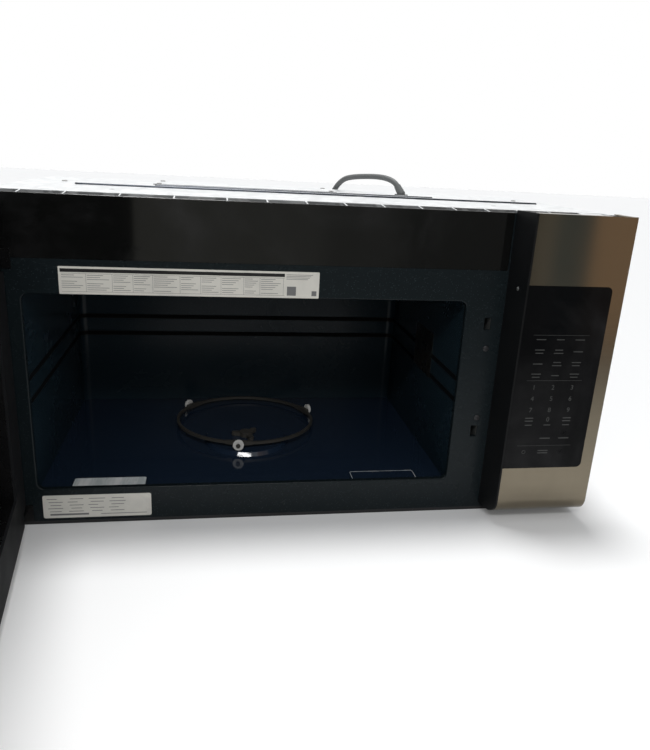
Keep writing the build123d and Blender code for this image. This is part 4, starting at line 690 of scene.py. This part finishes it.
def make_plug():
    """Moulded body with finger grooves and a tapered nose, and two blades with an earth pin."""
    cx, cy = coil_centre()
    x = cx - COIL_RADIUS
    y0 = cy + COIL_END
    y1 = y0 + PLUG_LENGTH
    bm = bmesh.new()
    add_block(bm, at(x - PLUG_WIDTH / 2, y0 + 8, 0.2), at(x + PLUG_WIDTH / 2, y1, PLUG_HEIGHT))
    front = [f for f in bm.faces if f.normal.y < -0.9]
    nose = bmesh.ops.extrude_face_region(bm, geom=front)["geom"]
    nose_verts = [v for v in nose if isinstance(v, bmesh.types.BMVert)]
    middle = at(x, y0, PLUG_HEIGHT / 2)
    for v in nose_verts:
        v.co.y = middle.y
        v.co.x = middle.x + (v.co.x - middle.x) * 0.45
        v.co.z = middle.z + (v.co.z - middle.z) * 0.62
    bmesh.ops.delete(bm, geom=[f for f in front if f.is_valid], context="FACES_ONLY")
    soften(bm, 0.003, 3)
    for k in range(4):
        y = y0 + 14 + GROOVE_PITCH * k
        for side in (-1, 1):
            outer = x + side * PLUG_WIDTH / 2
            add_block(bm, at(outer - side * GROOVE_DEPTH, y, 4), at(outer, y + 2, PLUG_HEIGHT - 4))
    body = settle_bmesh("plug_body", bm, cord_jacket, "cabinet")
    bm = bmesh.new()
    for side in (-1, 1):
        blade = x + side * PIN_APART
        add_block(bm, at(blade - 0.75, y1 - 3, PLUG_HEIGHT / 2 + 1),
                  at(blade + 0.75, y1 + BLADE_LENGTH, PLUG_HEIGHT / 2 + 7))
    soften(bm, 0.0004, 1)
    add_disc(bm, at(x, y1 - 3, PLUG_HEIGHT / 2 - 4), Vector((0, 1, 0)), 0.0024, 0.018, 20)
    add_disc(bm, at(x, y1 + 15, PLUG_HEIGHT / 2 - 4), Vector((0, 1, 0)), 0.0024, 0.0029, 20, 0.0012)
    blades = settle_bmesh("plug_blades", bm, blade_brass, "cabinet")
    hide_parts("plug")
    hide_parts("plug")
    return body, blades


# ------------------------------------------------------------------ front frame


def flat_plate(name, x0, x1, z0, z1, proud, thick, corner, material):
    """A thin rounded sheet stuck on the front frame, `proud` being its back."""
    bm = bmesh.new()
    add_block(bm, at(x0, -proud - thick, z0), at(x1, -proud, z1))
    if corner:
        upright = [e for e in bm.edges if abs((e.verts[0].co - e.verts[1].co).normalized().y) > 0.9]
        bmesh.ops.bevel(bm, geom=upright, offset=corner / 1000, offset_type="OFFSET", segments=5, profile=0.5,
                        affect="EDGES", material=-1)
    settle_bmesh(name, bm, material, "cabinet")


def ruled_bars(name, bars, proud, material):
    """Thin printed bars (x0, x1, z0, z1) in one piece."""
    bm = bmesh.new()
    for x0, x1, z0, z1 in bars:
        add_block(bm, at(x0, -proud - INK_THICK, z0), at(x1, -proud, z1))
    settle_bmesh(name, bm, material, "cabinet")


CHART = (79.0, 380.0, 298.0, 330.0)
TABLE_SHARE = 0.86
CHART_FENCES = (0.0, 0.094, 0.192, 0.27, 0.345, 0.45, 0.53, 0.61, 0.70, 0.765, TABLE_SHARE)
CHART_ROWS = 8
CHART_ROW = 2.4
LOWER_LABEL = (41.0, 174.0, 8.0, 40.0)
DASH_ROW = 4.4
DASH_COLUMN = 25
PAPER_THICK = 0.15
INK_THICK = 0.03


def cooking_chart():
    """Cooking chart above the mouth: a header bar, a ruled table and two plain squares."""
    x0, x1, z0, z1 = CHART
    flat_plate("chart_label", x0, x1, z0, z1, 0.0, PAPER_THICK, 1.0, paper)
    table = x0 + TABLE_SHARE * (x1 - x0)
    flat_plate("chart_header", x0 + 2, table, z1 - 6.5, z1 - 2.5, PAPER_THICK, 0.04, 0.0, black_ink)
    bars = []
    inner = x1 - x0 - 4
    for i, (start, end) in enumerate(zip(CHART_FENCES, CHART_FENCES[1:])):
        left = x0 + 2 + start * inner
        right = x0 + 2 + end * inner
        bars.append((right - 0.15, right + 0.15, z0 + 3.0, z1 - 8.0))
        for row in range(CHART_ROWS):
            z = z1 - 9.6 - row * CHART_ROW
            if (i * 3 + row * 2) % 5 != 4 or row < 2:
                share = 0.55 + 0.37 * ((i * 5 + row * 3) % 4) / 3
                bars.append((left + 1.2, left + 1.2 + (right - left - 2.4) * share, z - 0.55, z))
    bars += [(table + 2, x1 - 8 - 2 * row, z1 - 4 - 1.8 * row, z1 - 3.4 - 1.8 * row) for row in range(4)]
    bars += [(table + 3, table + 14, z0 + 3.0, z0 + 14.0), (x1 - 9, x1 - 3, z0 + 3.0, z0 + 9.0)]
    bars.append((x0 + 3, table, z0 + 2.9, z0 + 3.2))
    bars.append((x0 + 3, table, z1 - 8.2, z1 - 7.9))
    ruled_bars("chart_rules", bars, PAPER_THICK, grey_ink)


def lower_label():
    """Rounded label under the mouth, with short ruled dashes."""
    x0, x1, z0, z1 = LOWER_LABEL
    flat_plate("lower_label", x0, x1, z0, z1, 0.0, PAPER_THICK, 2.5, paper)
    bars = []
    for row in range(5):
        z = z1 - 5 - row * DASH_ROW
        for column in range(4):
            left = x0 + 5 + column * DASH_COLUMN + (row * 7 + column * 3) % 5
            bars.append((left, left + 12 + (row * 5 + column * 4) % 9, z - 0.8, z))
    bars.append((x0 + 8, x0 + 55, z0 + 3.5, z0 + 6.0))
    bars.append((x0 + 70, x1 - 6, z0 + 4.0, z0 + 4.8))
    ruled_bars("lower_label_dashes", bars, PAPER_THICK, grey_ink)


PAD_TOPS = (("pad_left", 119.75), ("pad_right", 487.75))
PAD_SPAN = 45.5
PAD_FRONT = 9.0
PAD_REAR = 39.0
PAD_TOP_Z = 43.5
PAD_CORNER = 0.003
HIGHLIGHT_THICK = 0.12
RIM_WIDTH = 0.0006


def paint_pad_highlights():
    """Painted highlights on the tops of the two pressed pads: the left one all over, the right one along its
    rim.
    """
    for name, centre in PAD_TOPS:
        bm = bmesh.new()
        add_block(bm, at(centre - PAD_SPAN, PAD_FRONT, PAD_TOP_Z),
                  at(centre + PAD_SPAN, PAD_REAR, PAD_TOP_Z + HIGHLIGHT_THICK))
        upright = [e for e in bm.edges if abs((e.verts[0].co - e.verts[1].co).normalized().z) > 0.9]
        bmesh.ops.bevel(bm, geom=upright, offset=PAD_CORNER, offset_type="OFFSET", segments=4, profile=0.5,
                        affect="EDGES", material=-1)
        # The right pad keeps its painted highlight only along a thin rim.
        if name == "pad_right":
            flats = [f for f in bm.faces if abs(f.normal.z) > 0.9]
            for face in flats:
                bmesh.ops.inset_individual(bm, faces=[face], thickness=RIM_WIDTH)
            bmesh.ops.bridge_loops(bm, edges=[e for f in flats for e in f.edges])
            bmesh.ops.delete(bm, geom=flats, context="FACES_ONLY")
        settle_bmesh(name, bm, pad_highlight_finish, "cabinet")


CHEEK_X = 625.6          # the side of the panel that faces the door


def panel_bumper():
    """Small clear bumper on the panel's side cheek, where the door closes."""
    bm = bmesh.new()
    add_disc(bm, at(CHEEK_X, -24, 320), Vector((-1, 0, 0)), 0.0028, 0.0012, 24, 0.0020)
    settle_bmesh("panel_bumper", bm, smoky_nylon, "cabinet", True)


# ------------------------------------------------------------------ touch panel

GLASS_FACE = TRIM_DEPTH + 0.3
KEY_COLUMNS = (657.5, 683.6, 710.0)
DIGIT_ROWS = ((196.3, "123"), (181.0, "456"), (165.4, "789"))
BAR_LINE = 4.2
DIVIDER_ZS = (265.7, 205.9, 115.4)
DIVIDER_X0 = 646.2
DIVIDER_X1 = 721.9
ZERO_Z = 152.2
DIGIT_SIZE = 0.0088
RING_KEYS = ((709.2, 133.3), (656.8, 106.4), (708.8, 106.2))
DISPLAY = (650.0, 728.0, 279.0, 309.0)
BAR_ROWS = ((260.0, 1), (244.4, 2), (228.1, 2), (212.6, 2))


def key_digits():
    """The digits of the number keys, as thin printed shapes."""
    bm = bmesh.new()
    places = [(x, z, digit) for z, row in DIGIT_ROWS for x, digit in zip(KEY_COLUMNS, row)]
    places.append((KEY_COLUMNS[1], ZERO_Z, "0"))
    for x, z, digit in places:
        text = bpy.data.curves.new("digit", "FONT")
        text.body = digit
        text.size = DIGIT_SIZE
        text.align_x = "CENTER"
        text.align_y = "CENTER"
        text.extrude = 0.00002
        glyph = bpy.data.objects.new("digit", text)
        mesh = bpy.data.meshes.new_from_object(glyph)
        mesh.transform(Matrix.Translation(at(x, -GLASS_FACE, z)) @ Matrix.Rotation(math.pi / 2, 4, "X"))
        bm.from_mesh(mesh)
        bpy.data.objects.remove(glyph)
        bpy.data.curves.remove(text)
        bpy.data.meshes.remove(mesh)
    settle_bmesh("key_digits", bm, legend_ink, "cabinet")


def key_bars():
    """Plain bars of the other touch keys, and the three dividing lines."""
    bars = []
    for z, lines in BAR_ROWS:
        for column, x in enumerate(KEY_COLUMNS):
            count = lines if (column + int(z)) % 3 else 1
            for line in range(count):
                offset = (line - (count - 1) / 2) * -BAR_LINE
                half = 6.4 - 1.2 * ((column + line) % 2)
                bars.append((x - half, x + half, z + offset - 0.55, z + offset + 0.55))
    for z in DIVIDER_ZS:
        bars.append((DIVIDER_X0, DIVIDER_X1, z - 0.18, z + 0.18))
    for x in (KEY_COLUMNS[0], KEY_COLUMNS[2]):
        for z in (154.4, 150.4):
            bars.append((x - 5.6, x + 5.6, z - 0.65, z + 0.65))
    for x in KEY_COLUMNS:
        bars.append((x - 4.8, x + 4.8, 144.1, 145.2))
    for x in KEY_COLUMNS[1:]:
        bars.append((x - 7.2, x + 7.2, 125.2, 126.6))
    for z in (108.2, 104.8):
        bars.append((KEY_COLUMNS[1] - 7, KEY_COLUMNS[1] + 7, z - 0.6, z + 0.6))
    ruled_bars("key_bars", bars, GLASS_FACE, legend_ink)


def key_rings():
    """Plain round marks of the lowest keys."""
    bm = bmesh.new()
    for x, z in RING_KEYS:
        centre = at(x, -GLASS_FACE, z)
        turn = Matrix.Translation(centre) @ Matrix.Rotation(math.pi / 2, 4, "X")
        outer = bmesh.ops.create_circle(bm, cap_ends=False, radius=0.0026, segments=24, matrix=turn)["verts"]
        inner = bmesh.ops.create_circle(bm, cap_ends=False, radius=0.0020, segments=24, matrix=turn)["verts"]
        edges = {e for v in outer + inner for e in v.link_edges}
        ring = bmesh.ops.bridge_loops(bm, edges=list(edges))["faces"]
        bmesh.ops.solidify(bm, geom=ring, thickness=0.00003)
    settle_bmesh("key_rings", bm, legend_ink, "cabinet")


def display_window():
    """Display area, a little clearer than the glass round it."""
    x0, x1, z0, z1 = DISPLAY
    flat_plate("display_window", x0, x1, z0, z1, GLASS_FACE, 0.02, 2.0, display_glass)


# ------------------------------------------------------------------ screws, welds and seams


HEAD_PROFILE = ((1.0, 0.0), (1.0, 0.35), (0.90, 0.72), (0.70, 0.95), (0.52, 1.0))   # shares of radius, height
RECESS_RIM = 0.18        # share of the radius
RECESS_DEPTH = 0.45      # share of the height


def pan_head(bm, foot, axis, radius=0.004, height=0.0016):
    """A domed screw head with a round recess."""
    turn = Matrix.Translation(foot) @ axis.to_track_quat("Z", "Y").to_matrix().to_4x4()
    loops = []
    for share, rise in HEAD_PROFILE:
        lift = turn @ Matrix.Translation((0, 0, height * rise))
        made = bmesh.ops.create_circle(bm, cap_ends=False, radius=radius * share, segments=24, matrix=lift)
        loops.append(list({e for v in made["verts"] for e in v.link_edges}))
    for lower, upper in zip(loops, loops[1:]):
        bmesh.ops.bridge_loops(bm, edges=lower + upper)
    rim = bmesh.ops.edgeloop_fill(bm, edges=loops[-1])["faces"]
    bmesh.ops.inset_region(bm, faces=rim, thickness=radius * RECESS_RIM, depth=0)
    inner = [f for f in rim if f.is_valid]
    down = bmesh.ops.extrude_face_region(bm, geom=inner)["geom"]
    sunk = [v for v in down if isinstance(v, bmesh.types.BMVert)]
    bmesh.ops.translate(bm, vec=-axis.normalized() * height * RECESS_DEPTH, verts=sunk)
    bmesh.ops.delete(bm, geom=[f for f in inner if f.is_valid], context="FACES_ONLY")
    bmesh.ops.edgeloop_fill(bm, edges=loops[0])


TOP_SCREWS = ((46.0, 236.0), (460.0, 236.0), (722.0, 236.0))
PLATE_SCREWS = tuple((303.75 + dx * 129.0, 300.0 + dy * 42.0) for dx in (-1, 1) for dy in (-1, 1))
FRAME_SCREW_ZS = (139.2, 236.0)


def pan_head_screws():
    bm = bmesh.new()
    up = Vector((0, 0, 1))
    for x, y in TOP_SCREWS:
        pan_head(bm, at(x, y, TOP_SHEET_Z), up)
    for x, y in PLATE_SCREWS:
        pan_head(bm, at(x, y, TOP_SHEET_Z + 1.0), up)
    bright = settle_bmesh("top_screws", bm, plated_steel, "cabinet")
    bm = bmesh.new()
    for z in FRAME_SCREW_ZS:
        pan_head(bm, at(604.0, 0, z), Vector((0, -1, 0)))
    black = settle_bmesh("frame_screws", bm, dark_steel, "cabinet")
    for piece in (bright, black):
        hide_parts("pan_screws")


def spot_welds():
    """Shallow weld marks and rivet heads along the folds of the sides and back."""
    bm = bmesh.new()
    for z in range(40, 400, 60):
        for y in (18.0, 340.0):
            add_disc(bm, at(1.5, y, z), Vector((-1, 0, 0)), 0.0026, 0.00025, 16, 0.0018)
            add_disc(bm, at(757.5, y, z), Vector((1, 0, 0)), 0.0026, 0.00025, 16, 0.0018)
    for x in range(30, 750, 70):
        for z in (30.0, 395.0):
            add_disc(bm, at(x, 358.0, z), Vector((0, 1, 0)), 0.0028, 0.0006, 16, 0.0018)
    settle_bmesh("sheet_rivets", bm, zinc, "cabinet")


# ------------------------------------------------------------------ studio


def shown_rays(tree):
    """One for the rays to the camera, and one for those that come by way of metal or glass."""
    path = add(tree, "ShaderNodeLightPath").outputs
    return path["Is Camera Ray"], maths(tree, "MAXIMUM", path["Is Transmission Ray"], path["Is Glossy Ray"])


def lay_floor():
    """Pale floor. Polished faces show it fading into a dim room, whose floor ends before the room's walls."""
    bm = bmesh.new()
    bmesh.ops.create_grid(bm, x_segments=1, y_segments=1, size=12.0)
    mesh = bpy.data.meshes.new("studio_floor")
    bm.to_mesh(mesh)
    bm.free()
    floor = bpy.data.objects.new("studio_floor", mesh)
    bpy.context.scene.collection.objects.link(floor)
    floor.location.z = -0.0005
    material, tree, shader = new_finish("pale_floor", Roughness=0.9, Specular_IOR_Level=0.0)
    split = add(tree, "ShaderNodeSeparateXYZ", {0: place_on_piece(tree)}).outputs
    room = remap(tree, split[1], -0.25, -1.2, 0.0, 1.0)
    feed(tree, shader["Base Color"], blend_colours(tree, room, rgb(0.80, 0.80, 0.80), rgb(0.05, 0.045, 0.04)))
    shader["Emission Color"].default_value = rgb(1.0, 1.0, 1.0)
    direct, mirrored = shown_rays(tree)
    shown = maths(tree, "MULTIPLY", direct, remap(tree, room, 0.0, 1.0, 0.06, 0.97))
    feed(tree, shader["Emission Strength"], shown)
    far = remap(tree, split[1], -0.95, -1.3, 0.0, 1.0)
    ended = maths(tree, "MULTIPLY", mirrored, far)
    surface = tree.nodes["Principled BSDF"].outputs[0]
    beyond = add(tree, "ShaderNodeBsdfTransparent").outputs[0]
    shown_floor = add(tree, "ShaderNodeMixShader", {0: ended, 1: surface, 2: beyond}).outputs[0]
    feed(tree, tree.nodes["Material Output"].inputs["Surface"], shown_floor)
    mesh.materials.append(material)


ROOM_LEFT = math.radians(-60)
ROOM_RIGHT = math.radians(60)
WORLD_LIGHT = (0.34, 0.35, 0.36, 1.0)
WHITE = (1.0, 1.0, 1.0, 1.0)
ROOM_WALLS = (      # what stands in the dim room, by its heading in degrees from behind the camera
    (-60, rgb(0.085, 0.09, 0.10)), (-17, rgb(0.085, 0.09, 0.10)), (-9, rgb(0.32, 0.315, 0.28)),
    (8.5, rgb(0.30, 0.30, 0.275)), (10, rgb(0.205, 0.205, 0.19)), (15, rgb(0.205, 0.205, 0.19)),
    (16.5, rgb(0.12, 0.12, 0.113)), (26.6, rgb(0.12, 0.12, 0.113)), (27.0, rgb(0.21, 0.205, 0.195)),
    (28.3, rgb(0.21, 0.205, 0.195)), (28.6, rgb(0.125, 0.15, 0.165)), (30.9, rgb(0.125, 0.15, 0.165)),
    (31.3, rgb(0.455, 0.335, 0.25)), (40, rgb(0.455, 0.335, 0.25)), (60, rgb(0.20, 0.17, 0.145)))


def paint_world():
    """White backdrop, with a dim room behind the camera that only polished faces show."""
    world = bpy.data.worlds.new("studio_world")
    bpy.context.scene.world = world
    world.use_nodes = True
    tree = world.node_tree
    way = add(tree, "ShaderNodeTexCoord").outputs["Generated"]
    split = add(tree, "ShaderNodeSeparateXYZ", {0: way}).outputs
    room = remap(tree, split[1], -0.15, -0.45, 0.0, 1.0)
    heading = maths(tree, "ARCTAN2", split[0], maths(tree, "MULTIPLY", split[1], -1.0))
    sway = noise(tree, way, 3.0, 3.0)
    heading = maths(tree, "ADD", heading, remap(tree, sway, 0.3, 0.7, -0.008, 0.008))
    walls = add(tree, "ShaderNodeValToRGB", {0: remap(tree, heading, ROOM_LEFT, ROOM_RIGHT, 0.0, 1.0)})
    stops = walls.color_ramp.elements
    stops[0].color = ROOM_WALLS[0][1]
    stops[1].color = ROOM_WALLS[-1][1]
    for degrees, colour in ROOM_WALLS[1:-1]:
        stops.new((math.radians(degrees) - ROOM_LEFT) / (ROOM_RIGHT - ROOM_LEFT)).color = colour
    dim = walls.outputs[0]
    mirrored_view = blend_colours(tree, room, WHITE, dim)
    direct, mirrored = shown_rays(tree)
    light = blend_colours(tree, mirrored, WORLD_LIGHT, mirrored_view)
    feed(tree, tree.nodes["Background"].inputs["Color"], blend_colours(tree, direct, light, WHITE))


LAMPS = (       # name, kind, energy, place and measures
    ("overhead", "SUN", 2.4, (-0.2, 0.32, 2.6), {"angle": math.radians(15)}),
    ("front_fill", "AREA", 5.0, (0.2, -1.9, 1.5), {"size": 1.6}),
    ("strip_light", "AREA", 3.4, (-0.20, -0.99, 0.90), {"shape": "RECTANGLE", "size": 0.7, "size_y": 0.06}),
)
LAMP_TARGET = (0.0, -0.1, 0.2)


def hang_lamps():
    """An overhead sun for the shadow, a soft fill in front and a strip that the polished pads catch, over
    their painted highlights.
    """
    for name, kind, energy, place, measures in LAMPS:
        data = bpy.data.lights.new(name, kind)
        data.energy = energy
        for measure, value in measures.items():
            setattr(data, measure, value)
        lamp = bpy.data.objects.new(name, data)
        bpy.context.scene.collection.objects.link(lamp)
        aim = Vector(LAMP_TARGET) - Vector(place)
        lamp.matrix_world = Matrix.Translation(place) @ aim.to_track_quat("-Z", "Y").to_matrix().to_4x4()


# ------------------------------------------------------------------ assembly

stand_camera()
cord = lay_cord()
plug_pieces = make_plug()
tuple(cord_line()[0])
finish_nodes()
cooking_chart()
lower_label()
paint_pad_highlights()
panel_bumper()
key_digits()
key_bars()
key_rings()
display_window()
pan_head_screws()
spot_welds()
lay_floor()
paint_world()
hang_lamps()
bpy.context.scene.view_settings.view_transform = "Standard"
